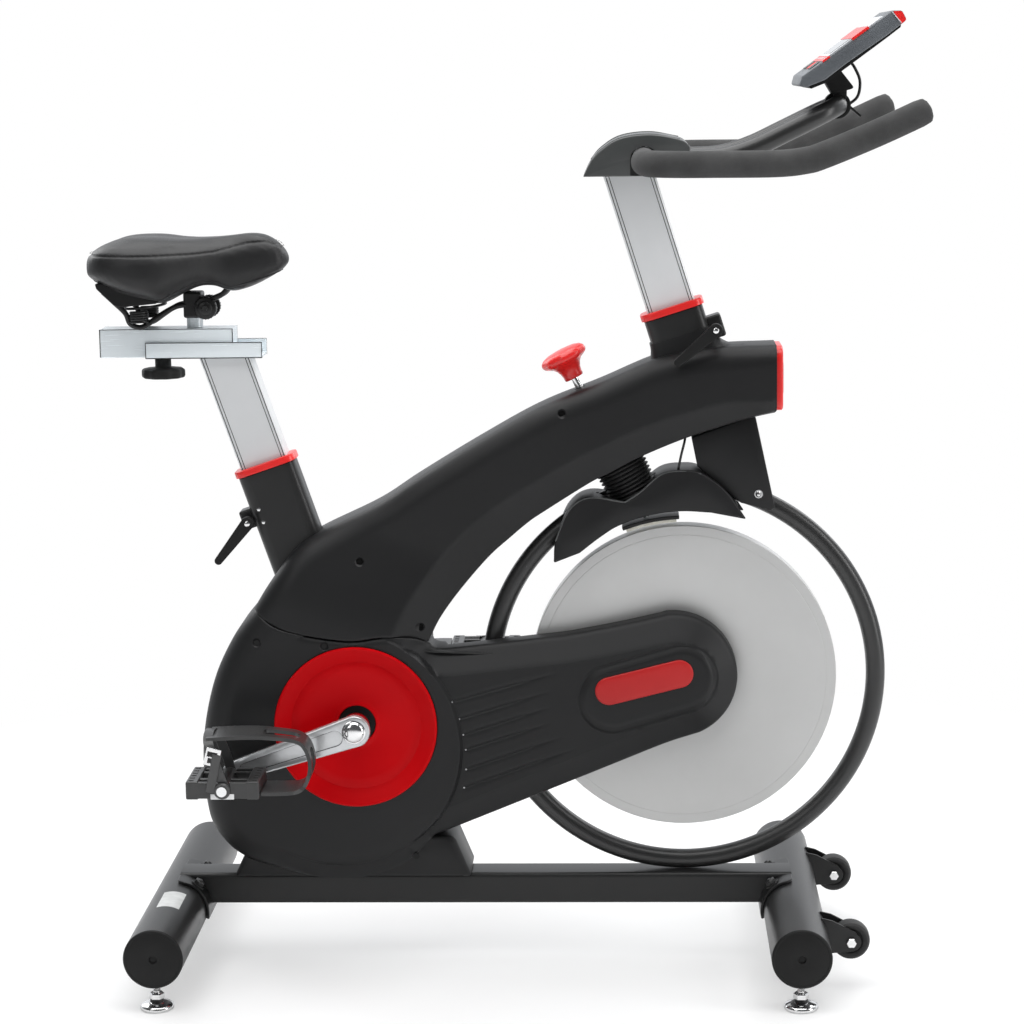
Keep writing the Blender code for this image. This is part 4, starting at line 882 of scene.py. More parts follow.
def sunk(p, centres, depth=0.0016, radius=0.0062):
    """How far the face falls into the dimples round its screws."""
    fall = np.zeros(len(p))
    for centre in centres:
        r = np.linalg.norm(p - np.array(centre), axis=1)
        fall += depth * soft_step((radius - r) / (radius - 0.0042))
    return fall


SEAM_PATH = flat_path(SEAM)
TOP_PATH = flat_path(BEAM_TOP)
LOW_PATH = flat_path(BEAM_BOTTOM)


def upper_depth(p):
    x = p[:, 0]
    z = p[:, 1]
    swell = soft_step((0.600 - (z + 0.35 * (x + 0.2))) / (0.600 - 0.452))
    face = BEAM_FACE + (0.0738 - BEAM_FACE) * swell
    to_low = distances(p, LOW_PATH)
    to_top = distances(p, TOP_PATH)
    to_seam = distances(p, SEAM_PATH)
    width = np.interp(x, [-0.06, 0.05, 0.20, 0.30, 0.345], [0.048, 0.040, 0.034, 0.028, 0.016])
    fall = np.interp(x, [-0.06, 0.02, 0.25, 0.345], [0.027, 0.019, 0.017, 0.010])
    low_fall = np.maximum(chamfer_drop(to_low, width, fall),
                          chamfer_drop(to_low, 0.004, fall + 0.004))
    top_width = np.interp(x, [-0.31, -0.22, 0.30, 0.36], [0.024, 0.030, 0.030, 0.026])
    top_fall = round_drop(to_top, top_width, 0.024)
    seam_fall = round_drop(to_seam, 0.0022, 0.0022)
    rear = 0.006 * soft_step((-0.26 - x) / 0.05)
    return face - low_fall - top_fall - seam_fall - rear - sunk(p, SCREWS_UPPER)


def sleeve_tool(origin, tilt, low):
    """The space of a sleeve, for cutting its way through a moulding."""
    section = rounded_rectangle(SLEEVE[0] + 2 * SLEEVE_PLAY, SLEEVE[1] + 2 * SLEEVE_PLAY,
                                SLEEVE_CORNER)
    return prism(section, origin, tilt, low, 0.02)


def brake_tool(radius, low, high):
    """The space of the brake rod, or of a piece round it."""
    return rod(radius, low, high, BRAKE_TOP, BRAKE_DOWN)


def face_screws(centres, depth_of, side):
    """Sunk screws on a moulded face."""
    screws = []
    for x, z in centres:
        y = float(depth_of(np.array([(x, z)]))[0]) + 0.0002
        screws.append(round_screw((x, side * y, z), (0, side, 0)))
    return merged(*screws)


def build_upper_shells():
    outline = joined(TOP_PATH, LOW_PATH, SEAM_PATH)
    rows = []
    for screw in SCREWS_UPPER:
        rows += round_rows(screw, SCREW_RINGS, 0.002)
    for name, side in SIDES:
        bm = moulding(outline, upper_depth, side, lambda x: GAP, bands=BANDS, rows=rows)
        shell = from_bm("body_shell_" + name, bm, SHELL, "frame",
                        ("body_shell_" + name,), sharp=28, outward=False)
        walled(shell)
        cut(shell, [sleeve_tool(SEAT_COLLAR, SEAT_TILT, -0.34),
                    sleeve_tool(HEAD_COLLAR, HEAD_TILT, -0.17),
                    brake_tool(0.0075, 0.005, 0.19)], sharp=28)
        # The screws in the upper shells wear the painted recess shade.
        from_bm("shell_screws_" + name, face_screws(SCREWS_UPPER, upper_depth, side), RECESS_SHADE,
                "frame")


def cover_depth(p, with_arm):
    """Depth of a drive cover: a raised round front, a bowl behind it, and the arm's face."""
    x = p[:, 0]
    z = p[:, 1]
    to_edge = distances(p, COVER_RIGHT if with_arm else COVER_LEFT, True)
    to_seam = distances(p, SEAM_PATH)
    to_rear = distances(p, REAR_PATH)
    bowl = DISC_FACE - round_drop(to_rear, 0.040, 0.034)
    bowl -= round_drop(to_seam, 0.0022, 0.0022)
    rho = np.hypot(x - DISC.x, z - DISC.y)
    bearing = np.degrees(np.arctan2(z - DISC.y, x - DISC.x))
    if with_arm:
        to_arm = distances(p, ARM_PATH)
        arm = ARM_FACE - chamfer_drop(to_arm, 0.033, 0.022)
        arm -= round_drop(to_arm, 0.004, 0.004)
        arm -= round_drop(to_seam, 0.0022, 0.0022)
        for start, end in GROOVES:
            away, share = along_line(p, start, end)
            fade = soft_step((1.0 - share) / 0.55) * soft_step(share / 0.02 + 0.3)
            arm -= 0.0015 * soft_step((0.0026 - away) / 0.0020) * fade
        away, _ = along_line(p, BOSS[0], BOSS[1])
        arm += 0.0030 * soft_step((BOSS[2] - away) / 0.0075)
        arm -= 0.0016 * soft_step((0.0030 - np.abs(away - BOSS[2] - 0.002)) / 0.0025)
        share = soft_step((bearing + 128) / 34) * soft_step((78 - bearing) / 30)
    else:
        arm = 0.064 - round_drop(to_edge, 0.022, 0.016)
        share = soft_step((bearing + 110) / 34) * soft_step((78 - bearing) / 30)
    outside = bowl * (1 - share) + np.minimum(arm, bowl + 0.02) * share
    front = soft_step((DISC_R - rho) / 0.0040)
    plateau = DISC_FACE - round_drop(to_edge, 0.008, 0.006)
    plateau = np.minimum(plateau, np.maximum(bowl, DISC_FACE - 0.02))
    depth = outside + (plateau - outside) * front
    return depth - sunk(p, SCREWS_LOWER)


REAR_PATH = flat_path(BODY_REAR)
ARM_PATH = joined(flat_path(ARM_LOW), arc(*ARM_NOSE, -72, 98, 34), flat_path(ARM_TOP))
SEAM_BELOW = [(x, z - 0.0005) for x, z in SEAM_PATH]
COVER_RIGHT = joined(REAR_PATH, ARM_PATH, SEAM_BELOW)
COVER_LEFT = joined(REAR_PATH, flat_path(LEFT_FRONT), SEAM_BELOW)
DISC_HOLE_R = 0.1075


def build_drive_covers():
    for name, side, outline in (("right", -1, COVER_RIGHT), ("left", 1, COVER_LEFT)):
        with_arm = side < 0
        rows = round_rows(DISC, (DISC_R + 0.0015, DISC_R, DISC_R - 0.0013, DISC_R - 0.0027,
                                 DISC_R - 0.0040, DISC_R - 0.006))
        rows += round_rows((CRANK.x, CRANK.z), (DISC_HOLE_R, DISC_HOLE_R + 0.002))
        for screw in SCREWS_LOWER:
            rows += round_rows(screw, SCREW_RINGS, 0.002)
        if with_arm:
            for start, end in GROOVES:
                rows += beside_line(start, end, (-0.0030, -0.0019, -0.0008, 0.0, 0.0008, 0.0019,
                                                 0.0030))
            rows += pill_rows(BOSS[0], BOSS[1], (0.0350, 0.0370, 0.0390, 0.0410, 0.0425, 0.0440,
                                                 0.0455, 0.0470))
        bm = moulding(outline, lambda p, arm=with_arm: cover_depth(p, arm), side,
                      lambda x, arm=with_arm: 0.0195 if arm and x > -0.070 else GAP,
                      bands=BANDS + (0.0335, 0.0375), rows=rows)
        middle = Vector((CRANK.x, CRANK.z))
        gone = [f for f in bm.faces
                if (Vector(f.calc_center_median().xz) - middle).length < DISC_HOLE_R
                and abs(f.normal.y) > 0.5]
        bmesh.ops.delete(bm, geom=gone, context="FACES")
        cover = from_bm("drive_cover_" + name, bm, SHELL, "frame",
                        ("drive_cover_" + name,), sharp=28, outward=False)
        walled(cover)
        tools = [sleeve_tool(SEAT_COLLAR, SEAT_TILT, -0.34),
                 block((CRANK.x - 0.030, 0, 0.125), (0.054, 0.034, 0.06)),
                 block((-0.060, side * 0.029, 0.343), (0.050, 0.0080, 0.060))]
        cut(cover, tools, sharp=28)
        screws = face_screws(SCREWS_LOWER, lambda p, arm=with_arm: cover_depth(p, arm), side)
        from_bm("cover_screws_" + name, screws, CAP_BLACK, "frame")
    inner = joined(flat_path(ARM_LOW[1:]), arc(ARM_NOSE[0], 0.0822, -72, 98, 24),
                   flat_path([(x, z - 0.001) for x, z in ARM_TOP]))
    wall = from_bm("cover_inner_wall", slab(inner, -0.0215, -0.0195), SHELL, "frame")
    cut(wall, [rod(0.016, -0.03, 0.0, AXLE, (0, 1, 0))])
    bosses = []
    for start, _ in GROOVES:
        spot = Vector(start) + Vector((-0.0005, 0))
        y = float(cover_depth(np.array([tuple(spot)]), True)[0])
        bosses.append(lathe([(0, 0.0007), (0.0011, 0.0004), (0.0015, -0.001), (0, -0.001)],
                            (spot.x, -y, spot.y), (0, -1, 0), 16))
    from_bm("groove_ends", merged(*bosses), ALLOY, "frame")
    build_badge()


def pill(centre, turn, length, height, steps=20):
    half = length / 2 - height / 2
    points = []
    for sign, base in ((1, -math.pi / 2), (-1, math.pi / 2)):
        for i in range(steps + 1):
            a = base + math.pi * i / steps
            flat = Vector((sign * half + height / 2 * math.cos(a), height / 2 * math.sin(a)))
            flat.rotate(Matrix.Rotation(turn, 2))
            points.append(tuple(Vector(centre) + flat))
    return points


def build_badge():
    """A plain domed badge on the arm's boss."""
    rings = []
    for inset, depth in ((0.0, 0.0685), (0.0, 0.0712), (0.0004, 0.0718), (0.0014, 0.0723),
                         (0.0030, 0.0726), (0.0080, 0.0729), (0.0150, 0.0730)):
        outline = pill(BADGE, BADGE_TURN, 0.130 - 2 * inset, 0.0365 - 2 * inset)
        rings.append([(x, -depth, z) for x, z in outline])
    from_bm("arm_badge", loft(rings), BADGE_RED, "frame", sharp=50)


# ---------------------------------------------------------------- discs, cap and collars
def build_red_parts():
    for name, side in SIDES:
        profile = [(0.1060, 0.0742), (0.1062, 0.0772), (0.1056, 0.0782), (0.1044, 0.0785),
                   (0.1030, 0.0784), (0.1018, 0.0779), (0.0900, 0.0703), (0.0862, 0.0682),
                   (0.0850, 0.0672), (0.0842, 0.0672), (0.0832, 0.0678), (0.0700, 0.0658),
                   (0.0500, 0.0622), (0.0340, 0.0598), (0.0285, 0.0592), (0.0276, 0.0598),
                   (0.0262, 0.0600), (0.0250, 0.0594), (0.0245, 0.0560), (0.0260, 0.0560),
                   (0.0340, 0.0580), (0.0850, 0.0650), (0.1040, 0.0735)]
        from_bm("crank_disc_" + name, lathe(profile, CRANK, (0, side, 0), 120,
                                            closed=True), RED_DISC, "frame",
                ("crank_disc_" + name,), sharp=40)
        rim = [(0.1074, 0.0700), (0.1074, 0.0746), (0.1068, 0.0748), (0.1062, 0.0744),
               (0.1062, 0.0700)]
        from_bm("disc_seat_" + name, lathe(rim, CRANK, (0, side, 0), 96,
                                           closed=True), CAP_BLACK, "frame")
        dish = [(0.0243, 0.0560), (0.0243, 0.0500), (0.0108, 0.0500), (0.0108, 0.0560),
                (0.0112, 0.0566), (0.0238, 0.0566)]
        from_bm("axle_seal_" + name, lathe(dish, CRANK, (0, side, 0), 64,
                                           closed=True), CAP_BLACK, "frame")
    low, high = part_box("front_end_cap")
    middle = (low + high) / 2
    section = rounded([(low.y, low.z, 0.012), (high.y, low.z, 0.012), (high.y, high.z, 0.020),
                       (low.y, high.z, 0.020)], closed=True, steps=8)
    rings = []
    for grow, x in ((0, low.x), (0, high.x - 0.0022), (-0.0008, high.x - 0.0008),
                    (-0.0022, high.x)):
        rings.append([(x, y * (1 + grow / 0.044), middle.z + (z - middle.z) * (1 + grow / 0.042))
                      for y, z in section])
    from_bm("front_end_cap", loft(rings), RED, "frame", ("front_end_cap",))
    face = rounded([(-0.028, -0.022, 0.008), (0.028, -0.022, 0.008), (0.028, 0.022, 0.012),
                    (-0.028, 0.022, 0.012)], closed=True)
    panel = along_x([(y, middle.z + z) for y, z in face], high.x - 0.001, high.x + 0.0012)
    # The inset panel is painted darker red as shade, its edges lighter as a highlight.
    bevelled(from_bm("end_cap_shade_panel", panel, RED_CAP_SHADE, "frame"), 0.0006, 2)
    build_collar("seat_collar", SEAT_COLLAR, SEAT_TILT)
    build_collar("handlebar_collar", HEAD_COLLAR, HEAD_TILT)


def build_collar(name, origin, tilt):
    """A red ring on top of a sleeve, close round its post."""
    rings = []
    for level, grow in ((0.0003, 0.0060), (0.0012, 0.0060), (0.0074, 0.0060), (0.0086, 0.0050),
                        (0.0090, 0.0034)):
        section = rounded_rectangle(SLEEVE[0] + grow, SLEEVE[1] + grow,
                                    SLEEVE_CORNER + grow / 2)
        rings.append(post_ring(section, origin, tilt, level))
    section = rounded_rectangle(POST[0] + 0.0006, POST[1] + 0.0006, 0.0058)
    rings += [post_ring(section, origin, tilt, level) for level in (0.0090, 0.0003)]
    from_bm(name, loft(rings, closed=True), RED, "frame", (name,))


# ---------------------------------------------------------------- frame steel
def hollow_prism(outer, inner, origin, tilt, low, high, edge=0.0010):
    """A tube of one section round another, its top edge eased."""
    eased = [(a * (1 - edge / 0.03), y * (1 - edge / 0.02)) for a, y in outer]
    return loft([post_ring(section, origin, tilt, level)
                 for section, level in ((outer, low), (outer, high - edge), (eased, high),
                                        (inner, high), (inner, low))], closed=True)


def build_sleeves():
    outer = rounded_rectangle(*SLEEVE, SLEEVE_CORNER, 10)
    inner = rounded_rectangle(POST[0] + 0.001, POST[1] + 0.001, 0.0060, 10)
    from_bm("seat_sleeve", hollow_prism(outer, inner, SEAT_COLLAR, SEAT_TILT, -0.285, 0.0),
            STEEL, "frame", ("seat_tube",))
    from_bm("handlebar_sleeve", hollow_prism(outer, inner, HEAD_COLLAR, HEAD_TILT, -0.150, 0.0),
            STEEL, "frame", ("main_beam",))
    seat_block = block(on_post(SEAT_COLLAR, SEAT_TILT, -0.055, -0.045), (0.020, 0.030, 0.026),
                       SEAT_TILT)
    head_block = block(on_post(HEAD_COLLAR, HEAD_TILT, -0.034, 0.046), (0.022, 0.030, 0.030),
                       HEAD_TILT)
    bevelled(from_bm("seat_clamp_block", seat_block, STEEL, "frame"), 0.0035, 4)
    bevelled(from_bm("handlebar_clamp_block", head_block, STEEL, "frame"),
             0.0035, 4)
    screws = [lathe([(0, 0.0012), (0.0022, 0.0009), (0.0030, -0.001), (0, -0.001)],
                    on_post(SEAT_COLLAR, SEAT_TILT, level, -0.026, -0.0249), (0, -1, 0), 20)
              for level in (-0.046, -0.064)]
    from_bm("sleeve_screws", merged(*screws), CHROME, "frame")
    build_flare()
    build_inner_frame()


def build_flare():
    """The upper shells flow up round the handlebar sleeve."""
    rings = []
    for i in range(11):
        t = i / 10
        grow = 0.034 * (1 - math.sqrt(1 - (1 - t) ** 2)) + 0.0022
        section = rounded_rectangle(SLEEVE[0] + 2 * grow, SLEEVE[1] + grow * 0.55,
                                    SLEEVE_CORNER + grow * 0.4)
        rings.append(post_ring(section, HEAD_COLLAR, HEAD_TILT, -0.066 + 0.036 * t))
    section = rounded_rectangle(SLEEVE[0] + 0.0008, SLEEVE[1] + 0.0008, 0.0168)
    rings += [post_ring(section, HEAD_COLLAR, HEAD_TILT, level) for level in (-0.030, -0.066)]
    from_bm("sleeve_flare", loft(rings, closed=True), SHELL, "frame", sharp=45)


def build_inner_frame():
    """Steel inside the mouldings: beam, bottom bracket and the arms that carry the flywheel."""
    top = [(-0.150, 0.600), (-0.096, 0.637), (-0.015, 0.684), (0.064, 0.727), (0.140, 0.757),
           (0.216, 0.786), (0.285, 0.799), (0.350, 0.802)]
    low = [(0.350, 0.748), (0.315, 0.740), (0.247, 0.715), (0.181, 0.692), (0.114, 0.656),
           (0.070, 0.624), (0.016, 0.576), (-0.060, 0.503)]
    outline = joined(flat_path(top, 3), flat_path(low, 3), [(-0.118, 0.470), (-0.175, 0.560)])
    beam = from_bm("beam_core", slab(outline, -0.020, 0.020), STEEL, "frame")
    hollow = rounded_rectangle(POST[0] + 0.001, POST[1] + 0.001, 0.0105, 4)
    tools = [prism(hollow, HEAD_COLLAR, HEAD_TILT, -0.20, 0.05),
             prism(rounded_rectangle(*SLEEVE, SLEEVE_CORNER, 4), SEAT_COLLAR, SEAT_TILT, -0.34,
                   0.02),
             brake_tool(0.0072, 0.01, 0.20)]
    cut(beam, tools)
    shell = [(0.030, -0.034), (0.030, 0.034), (0.0110, 0.034), (0.0110, -0.034)]
    parts = [lathe(shell, CRANK, (0, 1, 0), 48, closed=True),
             block((CRANK.x - 0.034, 0, 0.205), (0.044, 0.030, 0.180)),
             block(on_post(SEAT_COLLAR, SEAT_TILT, -0.290, -0.004), (0.046, 0.030, 0.030),
                   SEAT_TILT)]
    from_bm("bottom_bracket", merged(*parts), STEEL, "frame")
    direction = math.degrees(math.atan2(AXLE.z - CRANK.z, AXLE.x - CRANK.x))
    fork = (arc((CRANK.x, CRANK.z), 0.026, direction + 90, direction + 270, 16)
            + arc((AXLE.x, AXLE.z), 0.020, direction - 90, direction + 90, 20))
    for name, side in SIDES:
        arm = from_bm("fork_arm_" + name, slab(fork, *sorted((side * 0.026, side * 0.032))),
                      STEEL, "frame")
        cut(arm, [rod(0.0113, -0.1, 0.1, CRANK, (0, 1, 0)),
                  rod(0.0066, -0.1, 0.1, AXLE, (0, 1, 0))])
        bevelled(arm, 0.0012, 2)
    washer = [(0.0064, 0.0), (0.0135, 0.0), (0.0135, 0.0014), (0.0064, 0.0014)]
    nut = [(0.0064, 0.0014), (0.0110, 0.0014), (0.0110, 0.0094), (0.0064, 0.0094)]
    nuts = merged(lathe(washer, (AXLE.x, 0.0322, AXLE.z), (0, 1, 0), 32, closed=True),
                  lathe(nut, (AXLE.x, 0.0322, AXLE.z), (0, 1, 0), 6, closed=True))
    from_bm("axle_nut_left", nuts, CHROME, "frame")


def build_base():
    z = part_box("base_tube")[1].z - 0.021
    rear = on_middle(centre_of("rear_stabilizer"))
    front = Vector((0.384, 0, rear.z))
    section = [(y, z + h) for y, h in rounded_rectangle(0.050, 0.042, 0.0065, 6)]
    tube = from_bm("base_tube", along_x(section, rear.x, front.x), STEEL, "frame",
                   ("base_tube",))
    cut(tube, [rod(0.0381, -0.1, 0.1, centre, (0, 1, 0), 64) for centre in (rear, front)])
    for key, x, towards in (("rear", rear.x, 1), ("front", front.x, -1)):
        build_saddle_plate(key, x, rear.z, towards)
        build_stabilizer(key, x, rear.z)
    build_shroud()


def build_saddle_plate(key, x, z, towards):
    """A curved plate from the base tube round the stabiliser, bolted at both sides."""
    bm = bmesh.new()
    rows = []
    steps = 14
    half = 0.055
    for radius in (0.0384, 0.0425):
        layer = []
        for j in range(25):
            y = -half + 2 * half * j / 24
            row = []
            corner = max(0.0, (abs(y) - (half - 0.012)) / 0.012)
            trim = 14 * (1 - math.sqrt(max(0.0, 1 - corner ** 2)))
            for i in range(steps + 1):
                a = -18 + trim + (108 - 2 * trim) * i / steps
                a = math.radians(a if towards > 0 else 180 - a)
                row.append(bm.verts.new((x + radius * math.cos(a), y, z + radius * math.sin(a))))
            layer.append(row)
        rows.append(layer)
    for layer in rows:
        for a, b in zip(layer, layer[1:]):
            for i in range(steps):
                bm.faces.new((a[i], a[i + 1], b[i + 1], b[i]))

    def border(layer):
        return ([layer[0][i] for i in range(steps + 1)]
                + [layer[j][steps] for j in range(1, 25)]
                + [layer[24][i] for i in reversed(range(steps))]
                + [layer[j][0] for j in reversed(range(1, 24))])
    skin(bm, border(rows[0]), border(rows[1]))
    plate = from_bm("saddle_plate_" + key, bm, STEEL, "frame")
    bevelled(plate, 0.0012, 2, 40)
    bolts = []
    for y in (-0.041, 0.041):
        a = math.radians(52 if towards > 0 else 128)
        out = Vector((math.cos(a), 0, math.sin(a)))
        bolts.append(bolt(Vector((x, y, z)) + out * 0.0424, out, 0.0125, 0.0055, 0.0095))
    from_bm("saddle_bolts_" + key, merged(*bolts), STEEL, "frame")


def build_stabilizer(key, x, z):
    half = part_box("rear_stabilizer")[1].y
    profile = [(0.038, -half), (0.038, half), (0.0362, half), (0.0362, -half)]
    bar = from_bm(key + "_stabilizer", lathe(profile, (x, 0, z), (0, 1, 0), 96, closed=True),
                  STEEL, "frame", (key + "_stabilizer",))
    foot_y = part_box("levelling_foot_rear_left")[1].y - 0.0215
    cut(bar, [rod(0.0056, 0.0, 0.055, (x, side * foot_y, 0), (0, 0, 1), 24)
              for side in (-1, 1)])
    for name, side in SIDES:
        disc = [(0.0044, 0.0004), (0.0052, 0.0028), (0.0060, 0.0030), (0.0330, 0.0030),
                (0.0336, 0.0026), (0.0344, 0.0026), (0.0350, 0.0030), (0.0368, 0.0026),
                (0.0380, 0.0012), (0.0380, 0.0002), (0.0358, 0.0), (0.0358, -0.004),
                (0.0, -0.004), (0.0, 0.0004)]
        from_bm("end_cap_" + key + "_" + name,
                lathe(disc, (x, side * (half + 0.0003), z), (0, side, 0), 72),
                CAP_BLACK, "frame", ("end_cap_" + key + "_" + name,), sharp=45)
        build_foot(key, name, Vector((x, side * foot_y, 0)))
    if key == "front":
        build_wheel_mounts(x)
    else:
        build_label(x, z)


def build_label(x, z):
    """A plain label on top of the rear stabiliser."""
    bm = bmesh.new()
    rows = []
    for y in (-0.150, -0.086):
        rows.append([bm.verts.new((x + 0.0382 * math.cos(a), y, z + 0.0382 * math.sin(a)))
                     for a in (math.radians(62 + 5 * i) for i in range(10))])
    for i in range(9):
        bm.faces.new((rows[0][i], rows[0][i + 1], rows[1][i + 1], rows[1][i]))
    from_bm("stabiliser_label", bm, LABEL, "frame", outward=False)


def build_foot(key, name, place):
    node_name = "levelling_foot_" + key + "_" + name
    stud = [(0.0, 0.0545), (0.0042, 0.0545)]
    level = 0.054
    while level > 0.0225:
        stud += [(0.0050, level), (0.0044, level - 0.00075)]
        level -= 0.0015
    stud += [(0.0044, 0.0215), (0.0, 0.0215)]
    nut = hexagon(place + Vector((0, 0, 0.0138)), (0, 0, 1), 0.017, 0.0072)
    neck = lathe([(0.0, 0.0140), (0.0075, 0.0140), (0.0085, 0.0120), (0.0090, 0.0100),
                  (0.0, 0.0100)], place, (0, 0, 1), 32)
    from_bm(node_name, merged(lathe(stud, place, (0, 0, 1), 24), nut), CHROME, node_name,
            (node_name,))
    disc = lathe([(0.0, 0.0098), (0.0100, 0.0098), (0.0135, 0.0088), (0.0190, 0.0068),
                  (0.0208, 0.0056), (0.0215, 0.0040), (0.0215, 0.0012), (0.0208, 0.0002),
                  (0.0, 0.0002)], place, (0, 0, 1), 56)
    from_bm(node_name + "_disc", disc, CHROME, node_name)
    from_bm(node_name + "_neck", neck, RUBBER, node_name)


def build_wheel_mounts(x):
    wheel = centre_of("transport_wheel_right")
    for name, side in SIDES:
        centre = Vector((wheel.x, side * abs(wheel.y), wheel.z))
        outline = joined([(x + 0.030, 0.0960), (x + 0.044, 0.0925),
                          (centre.x + 0.0050, centre.z + 0.0135)],
                         arc((centre.x, centre.z), 0.0125, 50, -92, 14), [(x + 0.030, 0.0485)])
        cheeks = [slab(outline, y - 0.0014, y + 0.0014)
                  for y in (centre.y - 0.0145, centre.y + 0.0145)]
        back = slab([(x + 0.0340, 0.050), (x + 0.0375, 0.050), (x + 0.0375, 0.095),
                     (x + 0.0310, 0.095)], centre.y - 0.0145, centre.y + 0.0145)
        fork = from_bm("wheel_bracket_" + name, merged(*cheeks, back), STEEL, "frame")
        cut(fork, [rod(0.0043, -0.03, 0.03, centre, (0, 1, 0), 24)])
        bevelled(fork, 0.0006, 2)
        node_name = "transport_wheel_" + name
        tyre = [(0.0155, -0.0100), (0.0170, -0.0110), (0.0210, -0.0114), (0.0236, -0.0098),
                (0.0245, -0.0060), (0.0245, 0.0060), (0.0236, 0.0098), (0.0210, 0.0114),
                (0.0170, 0.0110), (0.0155, 0.0100)]
        from_bm(node_name, lathe(tyre, centre, (0, 1, 0), 64, closed=True), TYRE, node_name,
                (node_name,))
        hub = [(0.0157, -0.0085), (0.0157, 0.0085), (0.0120, 0.0085), (0.0110, 0.0062),
               (0.0072, 0.0062), (0.0066, 0.0105), (0.0044, 0.0105), (0.0044, -0.0105),
               (0.0066, -0.0105), (0.0072, -0.0062), (0.0110, -0.0062), (0.0120, -0.0085)]
        from_bm(node_name + "_hub", lathe(hub, centre, (0, 1, 0), 48, closed=True), CAP_BLACK,
                node_name)
        pin = merged(rod(0.0040, -0.0180, 0.0180, centre, (0, 1, 0), 24),
                     hexagon(centre + Vector((0, 0.0162, 0)), (0, 1, 0), 0.0115, 0.0045),
                     hexagon(centre - Vector((0, 0.0162, 0)), (0, -1, 0), 0.0115, 0.0045))
        from_bm(node_name + "_pin", pin, CHROME, node_name)


def build_shroud():
    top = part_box("base_tube")[1].z + GAP
    outline = rounded([(-0.355, top), (-0.338, 0.150, 0.012), (-0.300, 0.171, 0.016),
                       (-0.061, 0.171, 0.014), (-0.038, top)])
    shroud = from_bm("base_shroud", slab(outline, -0.044, 0.044), SHELL, "frame",
                     ("base_shroud",))
    bevelled(shroud, 0.006, 4, 50)
    bake(shroud)
    inner = [(-0.345, 0.10), (-0.330, 0.1480), (-0.298, 0.1680), (-0.064, 0.1680),
             (-0.046, 0.10)]
    middle = Vector((-0.22, 0.24))
    room = [tuple(Vector(p) + (Vector(p) - middle).normalized() * 0.0008)
            for p in joined(REAR_PATH, [(-0.05, 0.30), (-0.25, 0.35)])]
    cut(shroud, [slab(inner, -0.0415, 0.0415), slab(room, -0.10, 0.10)])


def hoop_tube(radius, sides=20):
    """A bmesh ring along the middle of the hoop's tube."""
    points = [AXLE + Vector((math.cos(a), 0, math.sin(a))) * HOOP_R
              for a in (2 * math.pi * i / 180 for i in range(180))]
    return sweep(points, radius, sides, closed=True)


def build_hoop():
    hoop = from_bm("frame_hoop", hoop_tube(HOOP_TUBE_R, 28), TUBE_PAINT, "frame",
                   ("frame_hoop",))
    cut(hoop, [brake_tool(0.0072, 0.16, 0.235)])
    outline = rounded([(0.2535, 0.6965), (0.323, 0.7210), (0.336, 0.7238, 0.003),
                       (0.361, 0.606, 0.002), (0.356, 0.6005, 0.002), (0.317, 0.611),
                       (0.261, 0.659)], closed=True)
    strut = from_bm("front_strut", slab(outline, -0.026, 0.026), SHELL, "frame",
                    ("front_strut",))
    bevelled(strut, 0.0045, 4, 40)
    bake(strut)
    cut(strut, [hoop_tube(0.0129)])
    from_bm("strut_bolt", bolt((0.3400, -0.0255, 0.6225), (0, -1, 0), 0.0075, 0.0022, 0.0055),
            CHROME, "frame")


# ---------------------------------------------------------------- flywheel and cranks
def build_flywheel():
    r = FLYWHEEL_R
    face = [(r, 0.0), (r, 0.0142), (r - 0.0008, 0.0150), (r - 0.0120, 0.0150),
            (r - 0.0124, 0.0147), (r - 0.0128, 0.0150), (0.0560, 0.0150), (0.0545, 0.0147),
            (0.0530, 0.0150), (0.0200, 0.0150), (0.0066, 0.0150)]
    profile = face + [(x, -y) for x, y in reversed(face[1:])]
    from_bm("flywheel", lathe(profile, AXLE, (0, 1, 0), 168, closed=True), WHEEL_STEEL,
            "flywheel", ("flywheel",), sharp=25)
    heads = []
    for k in range(4):
        a = math.pi / 4 + math.pi / 2 * k
        for side in (-1, 1):
            spot = AXLE + Vector((0.042 * math.cos(a), side * 0.0148, 0.042 * math.sin(a)))
            heads.append(bolt(spot, (0, side, 0), 0.0100, 0.0032, 0.0072))
    from_bm("flywheel_bolts", merged(*heads), CHROME, "flywheel")


